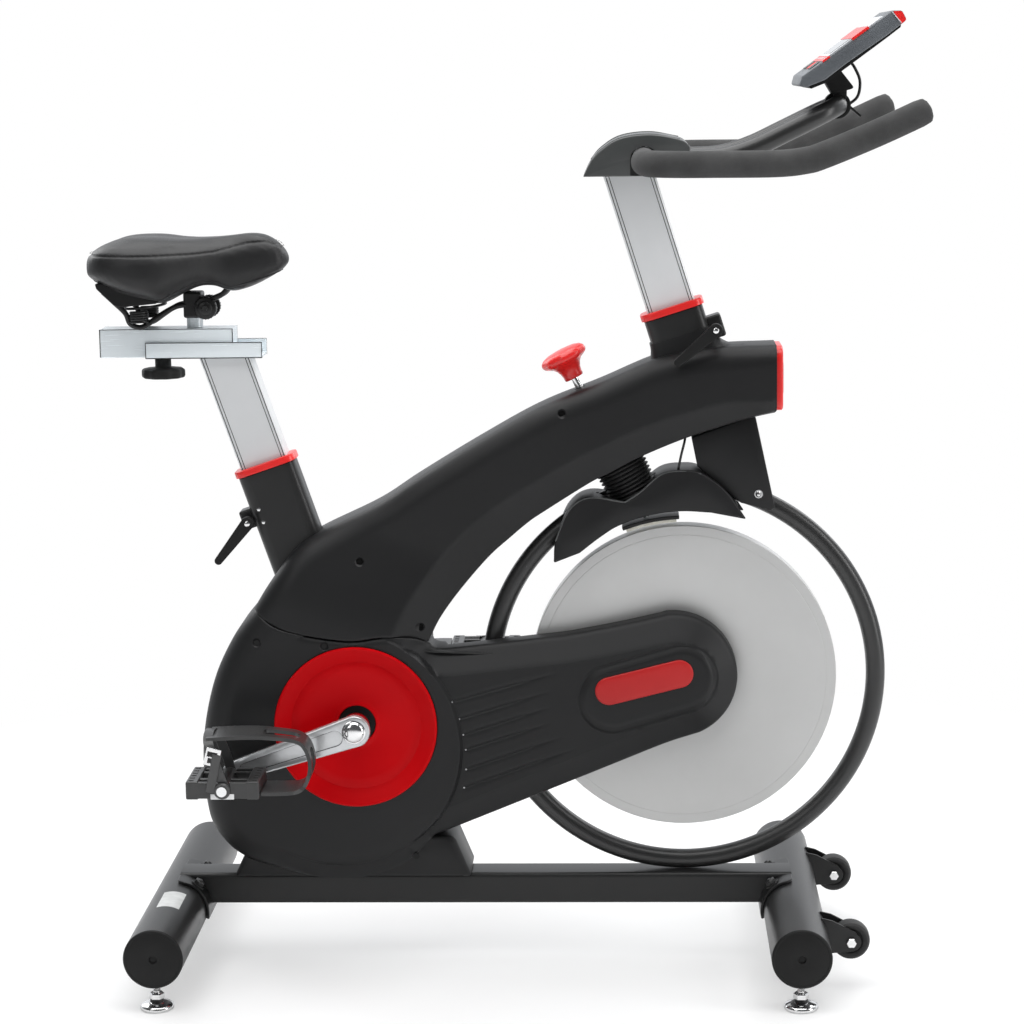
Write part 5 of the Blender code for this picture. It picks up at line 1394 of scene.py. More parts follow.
def build_cranks():
    for name, side in SIDES:
        end = on_middle(centre_of("pedal_" + name))
        run = (end - CRANK).normalized()
        degrees = math.degrees(math.atan2(run.z, run.x))
        centre = (CRANK.x, CRANK.z)
        outline = (arc((end.x, end.z), 0.0130, degrees - 84, degrees + 84, 20)
                   + arc(centre, 0.0210, degrees + 98, degrees + 262, 28))
        arm = from_bm("crank_arm_" + name,
                      slab(outline, *sorted((side * 0.0915, side * 0.1045))), CRANK_METAL,
                      "crank", ("crank_arm_" + name,))
        channel = (arc((end.x - run.x * 0.018, end.z - run.z * 0.018), 0.0070, degrees - 90,
                       degrees + 90, 12)
                   + arc((CRANK.x + run.x * 0.026, CRANK.z + run.z * 0.026), 0.0105,
                         degrees + 90, degrees + 270, 16))
        tools = [slab(channel, side * 0.1045 - 0.0016, side * 0.1045 + 0.0016),
                 rod(0.0103, 0.08, 0.1002, CRANK, (0, side, 0), 40)]
        bevelled(arm, 0.0028, 4, 40)
        bake(arm)
        cut(arm, tools)
        # Painted shade: a dark line round the floor of the channel, where its wall casts shade.
        line = [(x, side * 0.1032, z) for x, z in channel]
        from_bm("crank_channel_shade_" + name, sweep(line, 0.0007, 8, closed=True), CAP_BLACK,
                "crank")
        cap = [(0.0, 0.0108), (0.0060, 0.0100), (0.0105, 0.0080), (0.0130, 0.0050),
               (0.0136, 0.0020), (0.0150, 0.0012), (0.0160, 0.0), (0.0, 0.0)]
        cap = [(r, h * 0.55) for r, h in cap]
        from_bm("crank_cap_" + name, lathe(cap, (CRANK.x, side * 0.1040, CRANK.z),
                                           (0, side, 0), 56), CHROME, "crank",
                sharp=50)
        hub = [(0.0175, 0.0915), (0.0185, 0.0880), (0.0185, 0.0640), (0.0103, 0.0640),
               (0.0103, 0.0900)]
        from_bm("crank_hub_" + name, lathe(hub, CRANK, (0, side, 0), 48, closed=True), CHROME,
                "crank")
        from_bm("pedal_spindle_" + name, rod(0.0065, 0.1000, 0.2000, end, (0, side, 0), 28),
                CHROME, "crank")
        build_pedal(name, side, end)


def build_pedal(name, side, axis):
    body = "pedal_" + name
    y = side * 0.1545
    middle = Vector((axis.x, y, axis.z))

    def bar(x, depth, z, size):
        return block(middle + Vector((-side * x, depth, -side * z)), size)
    hub = lathe([(0.0068, -0.0385), (0.0110, -0.0385), (0.0120, -0.0340), (0.0120, 0.0340),
                 (0.0110, 0.0385), (0.0068, 0.0385)], middle, (0, 1, 0), 36, closed=True)
    from_bm(body, hub, PEDAL, body, (body,))
    bars = [("_rear_bar", -0.0385, 0, (0.0165, 0.078, 0.0235)),
            ("_front_bar", 0.0385, 0, (0.0165, 0.078, 0.0235))]
    for index, depth in enumerate((-0.0350, -0.0170, 0.0170, 0.0350)):
        bars += [("_rib_" + half + str(index), x, depth, (0.0260, 0.0075, 0.0215))
                 for half, x in (("a", -0.0215), ("b", 0.0215))]
    for part, x, depth, size in bars:
        bevelled(from_bm(body + part, bar(x, depth, 0, size), PEDAL, body),
                 0.0022, 3, 40)
    teeth = [bar(x, -0.030 + 0.012 * k, z, (0.006, 0.0035, 0.0014))
             for x in (-0.0405, 0.0405) for k in range(6) for z in (-0.0117, 0.0117)]
    from_bm(body + "_teeth", merged(*teeth), PEDAL, body)
    reflector = bar(0, side * 0.0388, -0.0078, (0.030, 0.0012, 0.0070))
    bevelled(from_bm(body + "_reflector", reflector, REFLECTOR, body),
             0.0005, 2)
    nut = lathe([(0.0068, 0.0), (0.0100, 0.0), (0.0105, 0.0030), (0.0090, 0.0052),
                 (0.0068, 0.0052)], middle + Vector((0, side * 0.0385, 0)), (0, side, 0), 32,
                closed=True)
    from_bm(body + "_cap", nut, PEDAL, body)
    build_toe_cage(name, side, middle)


def build_toe_cage(name, side, middle):
    """A bent band in front of the pedal, with openings cut through it, and a strap through its top."""
    body = "pedal_" + name

    def at(x, y, z):
        return middle + Vector((-side * x, y, -side * z))
    outline = [(0.0480, -0.0070), (0.0700, -0.0070), (0.0930, -0.0052), (0.1050, 0.0050),
               (0.1105, 0.0280), (0.1045, 0.0500), (0.0920, 0.0600), (0.0660, 0.0640),
               (0.0400, 0.0660), (0.0080, 0.0655), (-0.0200, 0.0640)]
    path = flat_path(outline, 8)
    rings = []
    last = len(path) - 1
    for i, (x, z) in enumerate(path):
        run = Vector(path[min(i + 1, last)]) - Vector(path[max(i - 1, 0)])
        across = Vector((-run.y, run.x)).normalized() * 0.0024
        share = i / last
        half = 0.030 - 0.006 * math.sin(math.pi * share) ** 2
        rings.append([at(x + across.x * h, y, z + across.y * h)
                      for y, h in rounded_rectangle(2 * half, 2.0, 0.0, 1)])
    cage = from_bm("toe_cage_" + name, loft(rings), PEDAL, body,
                   ("toe_cage_" + name,))
    hole = rounded([(0.050, -0.013, 0.008), (0.096, -0.010, 0.008), (0.096, 0.010, 0.008),
                    (0.050, 0.013, 0.008)], closed=True)
    front = rounded([(-0.013, 0.010, 0.008), (0.013, 0.010, 0.008), (0.013, 0.046, 0.008),
                     (-0.013, 0.046, 0.008)], closed=True)
    cut(cage, [loft([[at(x, y, z) for x, y in hole] for z in (0.045, 0.085)]),
               loft([[at(x, y, z) for y, z in front] for x in (0.085, 0.125)])])
    bevelled(cage, 0.0010, 2, 50)
    strap_path = [(0.004, 0.030, -0.0125), (0.002, 0.036, 0.004), (-0.006, 0.040, 0.030),
                  (-0.014, 0.037, 0.052), (-0.018, 0.026, 0.0640), (-0.019, 0.0, 0.0690),
                  (-0.018, -0.026, 0.0640), (-0.014, -0.037, 0.052), (-0.006, -0.040, 0.030),
                  (0.002, -0.036, 0.004), (0.004, -0.030, -0.0125)]
    points = smooth_path([at(x, y * side, z) for x, y, z in strap_path], 7)
    strap = ribbon(points, Vector((1, 0, 0)), 0.0062, 0.0011)
    bevelled(from_bm("toe_strap_" + name, strap, PEDAL, body), 0.0004, 1, 50)
    buckle_at = at(-0.0110, side * 0.0400, 0.0440)
    lean = math.radians(-14)
    outer = block(buckle_at, (0.0190, 0.0030, 0.0230), lean)
    buckle = from_bm("strap_buckle_" + name, outer, CHROME, body)
    cut(buckle, [block(buckle_at + Vector((0, 0, z)), (0.0125, 0.01, 0.0065), lean)
                 for z in (0.0035, -0.0050)])
    bevelled(buckle, 0.0008, 2, 40)
    tail = block(at(-0.0100, side * 0.0420, 0.0230), (0.0115, 0.0020, 0.050),
                 math.radians(-12))
    bevelled(from_bm("strap_tail_" + name, tail, PEDAL, body), 0.0006, 1)


def build_drive_inside():
    """Belt, pulleys and axles behind the covers."""
    base = math.degrees(math.atan2(AXLE.z - CRANK.z, AXLE.x - CRANK.x))
    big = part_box("crank_pulley")[1].x - CRANK.x
    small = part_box("flywheel_pulley")[1].x - AXLE.x
    lean = math.degrees(math.acos((big - small) / (AXLE - CRANK).length))
    belt_y = centre_of("belt").y

    def loop(extra):
        return (arc((CRANK.x, CRANK.z), big + extra, base + lean, base + 360 - lean, 60)
                + arc((AXLE.x, AXLE.z), small + extra, base - lean, base + lean, 24))
    outer = loop(0.0030)
    inner = loop(0.0006)
    rings = [[(x, belt_y + y, z) for x, z in run]
             for run, y in ((outer, -0.005), (outer, 0.005), (inner, 0.005), (inner, -0.005))]
    from_bm("belt", loft(rings, closed=True), RUBBER, "frame", ("belt",))
    profile = [(big, 0.0545), (big, 0.0415), (0.092, 0.0460), (0.024, 0.0460),
               (0.0103, 0.0400), (0.0103, 0.0540), (0.024, 0.0500), (0.092, 0.0500)]
    from_bm("crank_pulley", lathe(profile, CRANK, (0, -1, 0), 96, closed=True), ALLOY, "crank",
            ("crank_pulley",))
    profile = [(small, 0.0405), (small, 0.0555), (0.0066, 0.0555), (0.0066, 0.0405)]
    from_bm("flywheel_pulley", lathe(profile, AXLE, (0, -1, 0), 64, closed=True), ALLOY,
            "flywheel", ("flywheel_pulley",))
    low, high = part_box("flywheel_axle")
    axle = lathe([(0, low.y), (0.0060, low.y), (0.0060, high.y - 0.0006),
                  (0.0054, high.y), (0, high.y)], AXLE, (0, 1, 0), 32)
    from_bm("flywheel_axle", axle, CHROME, "flywheel", ("flywheel_axle",))
    from_bm("crank_axle", rod(0.0100, -0.0998, 0.0998, CRANK, (0, 1, 0), 40), CHROME, "crank",
            ("crank_axle",))


# ---------------------------------------------------------------- brake
def brake_point(distance, across=0.0):
    front = Vector((-BRAKE_DOWN.z, 0, BRAKE_DOWN.x))
    return BRAKE_TOP + BRAKE_DOWN * distance + front * across


def build_brake():
    from_bm("brake_rod", brake_tool(0.0050, 0.0245, 0.2380), CHROME, "brake_rod",
            ("brake_rod",))
    centre = (AXLE.x, AXLE.z)
    carrier = arc(centre, 0.2134, 91.2, 111.8, 16) + arc(centre, 0.2087, 111.8, 91.2, 16)
    holder = from_bm("pad_carrier", slab(carrier, -0.0178, 0.0178), STEEL, "brake_rod")
    bevelled(holder, 0.0010, 2)
    pad = arc(centre, 0.2084, 92.2, 110.8, 20) + arc(centre, 0.2044, 110.8, 92.2, 20)
    felt = from_bm("brake_pad", slab(pad, -0.0139, 0.0139), FELT, "brake_rod",
                   ("brake_pad",))
    bevelled(felt, 0.0008, 2)
    from_bm("pad_bolt", bolt(brake_point(0.2130), -BRAKE_DOWN, 0.0120, 0.0045, 0.0090), CHROME,
            "brake_rod")
    knob = [(0.0, 0.0085), (0.0080, 0.0083), (0.0200, 0.0070), (0.0270, 0.0047),
            (0.0305, 0.0015), (0.0315, -0.0017), (0.0310, -0.0047), (0.0290, -0.0071),
            (0.0255, -0.0091), (0.0205, -0.0117), (0.0165, -0.0160), (0.0140, -0.0215),
            (0.0128, -0.0275), (0.0130, -0.0305), (0.0122, -0.0323), (0.0054, -0.0323),
            (0.0054, -0.0240), (0.0, -0.0240)]
    from_bm("brake_knob", lathe(knob, BRAKE_TOP, -BRAKE_DOWN, 96, lobes=9, lobe_depth=0.035),
            RED, "brake_knob", ("brake_knob",), sharp=60)
    build_bellows()
    build_brake_cover()


def build_bellows():
    start = 0.1500
    end = 0.2035
    folds = 10
    profile = []
    step = (end - start) / folds
    for i in range(folds):
        shrink = 0.00025 * i
        level = start + step * i
        profile += [(0.0305 - shrink, level), (0.0345 - shrink, level + step * 0.38),
                    (0.0350 - shrink, level + step * 0.50), (0.0345 - shrink, level + step * 0.62)]
    profile += [(0.0290, end), (0.0180, end), (0.0180, start)]
    bellows = from_bm("brake_bellows", lathe(profile, BRAKE_TOP, BRAKE_DOWN, 96, closed=True),
                      RUBBER, "frame", ("brake_bellows",), sharp=70)
    cut(bellows, [hoop_tube(0.0134)], sharp=70)


def build_brake_cover():
    top = [(0.074, 0.535), (0.077, 0.566), (0.095, 0.606), (0.122, 0.622), (0.167, 0.616),
           (0.187, 0.629), (0.213, 0.651), (0.239, 0.656), (0.265, 0.6525), (0.298, 0.628),
           (0.324, 0.591)]
    low = [(0.278, 0.600), (0.239, 0.602), (0.200, 0.597), (0.160, 0.584), (0.134, 0.568),
           (0.108, 0.548)]
    outline = joined(flat_path(top, 6), flat_path(low, 6))
    cover = from_bm("brake_cover", slab(outline, -0.038, 0.038), SHELL, "frame",
                    ("brake_cover",))
    bevelled(cover, 0.0042, 4, 50)
    bake(cover)
    centre = (AXLE.x, AXLE.z)
    room = arc(centre, 0.2385, 60, 140, 40) + arc(centre, 0.190, 140, 60, 40)
    strut = [(0.255, 0.80), (0.255, 0.6645), (0.3145, 0.6100), (0.36, 0.58), (0.40, 0.58),
             (0.40, 0.80)]
    cut(cover, [slab(room, -0.033, 0.033), hoop_tube(0.0145),
                brake_tool(0.0362, 0.10, 0.2065), brake_tool(0.0075, 0.19, 0.235),
                slab(strut, -0.0268, 0.0268)])
    rims = []
    for side in (-1, 1):
        for run in (top[1:5], top[4:9]):
            rim = [Vector((x, side * 0.0366, z - 0.0016)) for x, z in run]
            rims.append(sweep(smooth_path(rim, 8), 0.0012, 10))
    from_bm("brake_cover_rims", merged(*rims), HOOD, "frame")
    spring = [brake_point(0.2112, -0.030), brake_point(0.2075, -0.040),
              brake_point(0.2080, -0.052), brake_point(0.2150, -0.062)]
    from_bm("pad_spring", ribbon(smooth_path(spring, 8), Vector((0, 1, 0)), 0.009, 0.0006),
            CHROME, "brake_rod")
    lead = [(0.246, -0.0150, 0.6970), (0.2440, -0.0285, 0.6900), (0.2400, -0.0320, 0.6750),
            (0.2370, -0.0300, 0.6600), (0.2350, -0.0260, 0.6500)]
    from_bm("sensor_lead", sweep(smooth_path(lead, 8), 0.0016, 12), RUBBER, "frame")


# ---------------------------------------------------------------- seat
def build_post(name, metal, origin, tilt, bottom, line_bottom, top, body):
    """A post cut level at its top, with fine dark strips down both its sides, painted as the shade of
    grooves.
    """
    def top_of(across):
        return (top - origin.z - math.sin(tilt) * across) / math.cos(tilt)
    section = rounded_rectangle(*POST, 0.0055, 6)
    from_bm(name, prism(section, origin, tilt, bottom, top_of), metal, body,
            (name,))
    # Painted shade: thin near-black strips on the flat sides stand in for the shade in grooves, which
    # are not cut into the post.
    lines = []
    half = 0.00045
    section = [(-half, 0.0178), (half, 0.0178), (half, 0.01815), (-half, 0.01815)]
    for side in (-1, 1):
        for across in (-0.0290, -0.0252, 0.0252, 0.0290):
            groove_shade_strip = [(across + a, side * y) for a, y in section]
            lines.append(loft([post_ring(groove_shade_strip, origin, tilt, level)
                               for level in (line_bottom, top_of(across) - 0.0005)]))
    from_bm(name + "_lines", merged(*lines), CAP_BLACK, body)


def build_seat():
    build_post("seat_post", SEAT_ALLOY, SEAT_COLLAR, SEAT_TILT, -0.170, -0.160, 0.8052,
               "seat_post")
    low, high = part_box("seat_post")
    channel_high = high.z
    profile = [(-0.0250, 0.8052, 0.002), (0.0250, 0.8052, 0.002), (0.0250, channel_high, 0.001),
               (0.0225, channel_high, 0.0005), (0.0225, 0.8084), (-0.0225, 0.8084),
               (-0.0225, channel_high, 0.0005), (-0.0250, channel_high, 0.001)]
    section = rounded(profile, closed=True, steps=4)
    channel = from_bm("seat_channel", along_x(section, -0.4517, -0.3005), BRIGHT, "seat_post")
    cut(channel, [rod(0.0058, 0.79, 0.82, (-0.4335, 0, 0), (0, 0, 1), 24)])
    bevelled(channel, 0.0006, 2)
    tongue = block(((low.x - 0.4517) / 2, 0, 0.8056), (-0.4517 - low.x, 0.040, 0.0010))
    from_bm("seat_channel_tongue", tongue, BRIGHT, "seat_post")
    # Painted shade: dark lines along the edges of the channel's sides, where its edges turn into
    # shade.
    edges = []
    for side in (-1, 1):
        y = side * 0.0251
        for start, end in (((-0.4517, 0.8056), (-0.4517, channel_high)),
                           ((-0.3007, 0.8056), (-0.3007, channel_high)),
                           ((-0.4517, channel_high), (-0.3005, channel_high)),
                           ((-0.4517, 0.8054), (-0.3005, 0.8054))):
            edges.append(edge_line((start[0], y, start[1]), (end[0], y, end[1]), 0.0005))
    from_bm("channel_edge_shade", merged(*edges), CAP_BLACK, "seat_post")
    build_carriage()
    knob = [(0.0, 0.8078), (0.0054, 0.8078), (0.0054, 0.8046), (0.0095, 0.8046),
            (0.0105, 0.8036), (0.0105, 0.7930), (0.0120, 0.7912), (0.0255, 0.7903),
            (0.0280, 0.7885), (0.0285, 0.7868), (0.0285, 0.7812), (0.0278, 0.7790),
            (0.0260, 0.7780), (0.0120, 0.7778), (0.0100, 0.7786), (0.0, 0.7788)]
    place = (centre_of("seat_knob").x, 0, 0)
    from_bm("seat_knob", lathe(knob, place, (0, 0, 1), 120, lobes=10, lobe_depth=0.06),
            CAP_BLACK, "seat_knob", ("seat_knob",), sharp=50)
    build_clamp_and_rails()
    build_saddle()


def build_carriage():
    low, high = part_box("seat_carriage")
    top = 0.8435
    bottom = 0.8064
    half = 0.0220
    middle = Vector(((low.x + high.x) / 2, 0, (top + bottom) / 2))
    body = block(middle, (high.x - low.x, 2 * half, top - bottom))
    carriage = from_bm("seat_carriage", body, BRIGHT, "seat_carriage",
                       ("seat_carriage",))
    bevelled(carriage, 0.0014, 3)
    # Painted shade: dark lines along the carriage's edges, where its rounded edges fall into shade.
    lines = []
    for side in (-1, 1):
        for x in (low.x + 0.0006, high.x - 0.0006):
            lines.append(edge_line((x, side * half, bottom + 0.001),
                                   (x, side * half, top - 0.001), 0.0006))
        lines.append(edge_line((low.x, side * half, top - 0.0006),
                               (high.x, side * half, top - 0.0006), 0.0004))
    from_bm("carriage_edge_shade", merged(*lines), CAP_BLACK, "seat_carriage")


def build_clamp_and_rails():
    from_bm("saddle_stem", rod(0.0105, 0.8440, 0.8600, (-0.390, 0, 0), (0, 0, 1), 48), BRIGHT,
            "seat_carriage")
    core = block((-0.3905, 0, 0.8735), (0.0235, 0.0340, 0.0335))
    clamp = from_bm("saddle_clamp", core, STEEL, "seat_carriage",
                    ("saddle_clamp",))
    bevelled(clamp, 0.0030, 3)
    sides = []
    bolts = []
    for side in (-1, 1):
        sides.append(lathe([(0.0, 0.0250), (0.0080, 0.0250), (0.0095, 0.0240),
                            (0.0100, 0.0225), (0.0140, 0.0215), (0.0150, 0.0200),
                            (0.0150, 0.0140), (0.0, 0.0140)], (-0.3730, 0, 0.8696),
                           (0, side, 0), 72, lobes=24, lobe_depth=0.05))
        bolts.append(hexagon((-0.3730, side * 0.0248, 0.8696), (0, side, 0), 0.0080, 0.0040))
    from_bm("clamp_washers", merged(*sides), STEEL, "seat_carriage", sharp=40)
    from_bm("clamp_bolts", merged(*bolts), STEEL, "seat_carriage")
    right = [(-0.500, 0.046, 0.8935), (-0.486, 0.045, 0.8800), (-0.473, 0.042, 0.8660),
             (-0.468, 0.040, 0.8530), (-0.458, 0.038, 0.8475), (-0.449, 0.036, 0.8492),
             (-0.435, 0.031, 0.8586), (-0.421, 0.024, 0.8674), (-0.4077, 0.0160, 0.8729),
             (-0.385, 0.0120, 0.8750), (-0.3556, 0.0120, 0.8847), (-0.344, 0.0120, 0.8945),
             (-0.330, 0.0110, 0.9060), (-0.312, 0.0080, 0.9120)]
    left = [(x, -y, z) for x, y, z in reversed(right)]
    rails = sweep(smooth_path(right + [(-0.300, 0, 0.9140)] + left, 8), 0.0035, 14)
    from_bm("saddle_rails", rails, STEEL, "seat_carriage", ("saddle_rails",))
    springs = []
    for side in (-1, 1):
        coil = []
        for i in range(121):
            a = 2 * math.pi * 5 * i / 120
            coil.append((-0.4560 + 0.0105 * math.cos(a), side * 0.0400 + 0.0105 * math.sin(a),
                         0.8530 + 0.0150 * i / 120))
        springs.append(sweep(coil, 0.0019, 8))
    ring = [Vector((-0.4560 + 0.0275 * math.cos(a), 0.0450 * math.sin(a),
                    0.8725 + 0.0020 * math.cos(a)))
            for a in (2 * math.pi * k / 60 for k in range(60))]
    springs.append(sweep(ring, 0.0018, 10, closed=True))
    from_bm("saddle_springs", merged(*springs), STEEL, "seat_carriage")
    pan = slab(rounded([(-0.5080, 0.9060, 0.002), (-0.5060, 0.8990, 0.004),
                        (-0.4840, 0.8775, 0.004), (-0.4730, 0.8755, 0.006),
                        (-0.4300, 0.8795, 0.004), (-0.4150, 0.8900, 0.004),
                        (-0.4150, 0.9060, 0.002)], closed=True), -0.062, 0.062)
    bevelled(from_bm("saddle_pan", pan, CAP_BLACK, "seat_carriage"), 0.0050, 3, 50)


SADDLE = [(-0.5270, 0.020, 0.934, 0.910), (-0.519, 0.062, 0.9485, 0.9010),
          (-0.500, 0.086, 0.9595, 0.8935), (-0.470, 0.098, 0.9650, 0.8825),
          (-0.440, 0.099, 0.9660, 0.8760), (-0.422, 0.094, 0.9645, 0.8740),
          (-0.404, 0.085, 0.9615, 0.8830), (-0.380, 0.071, 0.9595, 0.8940),
          (-0.358, 0.057, 0.9598, 0.8945), (-0.338, 0.047, 0.9615, 0.8865),
          (-0.312, 0.040, 0.9640, 0.8925), (-0.288, 0.035, 0.9610, 0.9000),
          (-0.271, 0.026, 0.9505, 0.9075), (-0.2615, 0.010, 0.937, 0.918)]
SEAM_LINE = [(-0.540, 0.938), (-0.5165, 0.942), (-0.472, 0.9416), (-0.432, 0.9412),
             (-0.383, 0.9417), (-0.356, 0.9437), (-0.316, 0.9535), (-0.2935, 0.9550),
             (-0.276, 0.9500), (-0.265, 0.9400), (-0.255, 0.932)]
HEM_LINE = [(x, low + 0.0110) for x, _, _, low in SADDLE]


def saddle_shape(grow, per_span=5, around=44):
    """A bmesh of the stuffed saddle, lofted through its stations."""
    heights = smooth_path([Vector((x, high, low)) for x, _, high, low in SADDLE], per_span)
    halves = smooth_path([Vector((x, half, 0)) for x, half, _, _ in SADDLE], per_span)
    rings = []
    for shape, width in zip(heights, halves):
        x = shape.x
        middle = (shape.y + shape.z) / 2
        rise = (shape.y - shape.z) / 2 + grow
        half = max(width.y + grow, 0.004)
        ring = []
        for i in range(around):
            a = 2 * math.pi * i / around
            c = math.copysign(abs(math.cos(a)) ** 0.72, math.cos(a))
            s = math.copysign(abs(math.sin(a)) ** 0.72, math.sin(a))
            dip = 0.0
            if s > 0:
                rear = soft_step(np.array((-0.36 - x) / 0.08)) * (1 - abs(c)) ** 1.4
                dip = -0.0050 * float(rear)
            tuck = 0.0060 * max(-s, 0.0) ** 2 * (1 - 0.4 * abs(c))
            ring.append((x, half * c, middle + rise * s + dip + tuck))
        rings.append(ring)
    return loft(rings)


def stuff(obj, frames=20, pressure=4.0, most=0.0045):
    """Blows an object up as cloth and keeps each point within `most` of where it began."""
    remesh = obj.modifiers.new("even_mesh", "REMESH")
    remesh.mode = "VOXEL"
    remesh.voxel_size = 0.0050
    remesh.use_smooth_shade = True
    bake(obj, None)
    before = [v.co.copy() for v in obj.data.vertices]
    cloth = obj.modifiers.new("stuffing", "CLOTH")
    settings = cloth.settings
    settings.quality = 8
    settings.mass = 0.15
    settings.tension_stiffness = 12
    settings.compression_stiffness = 12
    settings.shear_stiffness = 6
    settings.bending_stiffness = 0.6
    settings.use_pressure = True
    settings.uniform_pressure_force = pressure
    settings.effector_weights.gravity = 0.0
    cloth.point_cache.frame_start = 1
    cloth.point_cache.frame_end = frames
    scene = bpy.context.scene
    scene.frame_start = 1
    scene.frame_end = frames
    for step in range(1, frames + 1):
        scene.frame_set(step)
    evaluated = obj.evaluated_get(bpy.context.evaluated_depsgraph_get())
    mesh = bpy.data.meshes.new_from_object(evaluated)
    obj.modifiers.clear()
    for vert, start in zip(mesh.vertices, before):
        move = vert.co - start
        if move.length > most:
            vert.co = start + move.normalized() * most
    obj.data = mesh
    scene.frame_set(1)


def build_saddle():
    shape = saddle_shape(-0.0035)
    saddle = from_bm("saddle", shape, LEATHER, "seat_carriage", ("saddle",), sharp=0)
    stuff(saddle)
    smooth = saddle.modifiers.new("finer", "SUBSURF")
    smooth.levels = 2
    smooth.render_levels = 2
    bake(saddle, None)
    seam = saddle_line(saddle, SEAM_LINE)
    press_seam(saddle, seam)
    stitches(seam)
    piping(saddle)


def saddle_line(saddle, heights):
    """A closed loop of points and normals round the saddle, at the heights given along it."""
    tree = BVHTree.FromPolygons([v.co for v in saddle.data.vertices],
                                [p.vertices for p in saddle.data.polygons])
    rear = -0.470
    nose = -0.300
    rays = [(rear + (nose - rear) * i / 70, -90) for i in range(70)]
    rays += [(nose, -90 + 180 * i / 44) for i in range(44)]
    rays += [(nose + (rear - nose) * i / 70, 90) for i in range(70)]
    rays += [(rear, 90 + 180 * i / 64) for i in range(64)]
    along_x = [x for x, _ in heights]
    levels = [z for _, z in heights]
    loop = []
    for base, degrees in rays:
        out = Vector((math.cos(math.radians(degrees)), math.sin(math.radians(degrees)), 0))
        x = base + out.x * 0.03
        for _ in range(6):
            start = Vector((base, 0, float(np.interp(x, along_x, levels)))) + out * 0.3
            hit, normal, _, _ = tree.ray_cast(start, -out)
            if hit is None:
                break
            x = (x + hit.x) / 2
        if hit is not None:
            loop.append((hit, normal))
    return loop


def press_seam(saddle, seam, depth=0.0010, width=0.0030):
    """Draws the cover in along its seam."""
    tree = KDTree(len(seam))
    for i, (point, _) in enumerate(seam):
        tree.insert(point, i)
    tree.balance()
    mesh = saddle.data
    normals = [v.normal.copy() for v in mesh.vertices]
    for vert, normal in zip(mesh.vertices, normals):
        _, index, away = tree.find(vert.co)
        if away < width * 2.2:
            gap = abs(vert.co.z - seam[index][0].z)
            vert.co -= normal * (depth * math.exp(-(gap / (width * 0.55)) ** 2))
    mesh.update()


def stitches(seam):
    """Two rows of short threads, above and below the seam."""
    parts = bmesh.new()
    for lift in (0.0021, -0.0021):
        path = [point + Vector((0, 0, lift)) + normal * 0.0001 for point, normal in seam]
        walked = 0.0
        on = True
        begin = path[0]
        for i in range(1, len(seam)):
            step = (path[i] - path[i - 1]).length
            if step > 0.02:
                begin = path[i]
                walked = 0.0
                continue
            walked += step
            if on and walked > 0.0034:
                thread(parts, begin, path[i], seam[i][1])
                on = False
                walked = 0.0
            elif not on and walked > 0.0014:
                begin = path[i]
                on = True
                walked = 0.0
    from_bm("saddle_stitches", parts, THREAD, "seat_carriage", sharp=0)


def thread(bm, start, end, normal):
    run = end - start
    side = run.normalized().cross(normal).normalized() * 0.00045
    lift = normal.normalized() * 0.00045
    rings = []
    for share, size in ((0.0, 0.3), (0.25, 0.9), (0.75, 0.9), (1.0, 0.3)):
        centre = start + run * share + lift * (0.6 * math.sin(math.pi * share))
        rings.append([centre + side * math.cos(a) * size + lift * math.sin(a) * size
                      for a in (math.pi / 3 * k for k in range(6))])
    loft(rings, bm=bm)


def piping(saddle):
    """A rolled edge where the leather is pulled under the pan."""
    path = [point - normal * 0.0006 for point, normal in saddle_line(saddle, HEM_LINE)]
    kept = [path[0]]
    for point in path[1:]:
        if 0.003 < (point - kept[-1]).length < 0.03:
            kept.append(point)
    from_bm("saddle_edge", sweep(kept, 0.0016, 10, closed=True), LEATHER, "seat_carriage",
            sharp=0)


# ---------------------------------------------------------------- levers
def build_lever(name, origin, tilt, level, across, degrees, y):
    """A clamp lever on its shaft, which rides on the body of its own name."""
    pivot = on_post(origin, tilt, level, across)
    angle = math.radians(degrees)
    end = pivot + Vector((math.cos(angle), 0, math.sin(angle))) * 0.063
    outline = (arc((end.x, end.z), 0.0052, degrees - 84, degrees + 84, 12)
               + arc((pivot.x, pivot.z), 0.0088, degrees + 98, degrees + 262, 18))
    arm = from_bm(name, slab(outline, y - 0.0055, y + 0.0055), CAP_BLACK, name,
                  (name,))
    bevelled(arm, 0.0022, 3, 40)
    shaft = merged(rod(0.0040, y, -0.0153, (pivot.x, 0, pivot.z), (0, 1, 0), 28),
                   lathe([(0.0, 0.0014), (0.0024, 0.0012), (0.0036, 0.0004), (0.0040, -0.001),
                          (0.0, -0.001)], (pivot.x, y - 0.0055, pivot.z), (0, -1, 0), 28))
    from_bm(name + "_shaft", shaft, CHROME, name)


# ---------------------------------------------------------------- handlebar
def bar_path(side, per_span=7):
    points = [(0.194, 0.0, BAR_Z), (0.194, side * 0.080, BAR_Z), (0.194, side * 0.150, BAR_Z),
              (0.202, side * 0.195, BAR_Z), (0.230, side * 0.222, BAR_Z),
              (0.275, side * 0.231, BAR_Z), (0.350, side * 0.233, BAR_Z),
              (0.385, side * 0.2335, BAR_Z + 0.0033), (0.4073, side * 0.234, BAR_Z + 0.0096),
              (0.469, side * 0.234, BAR_Z + 0.0343), (0.5270, side * 0.234, BAR_Z + 0.0603)]
    return smooth_path(points, per_span)


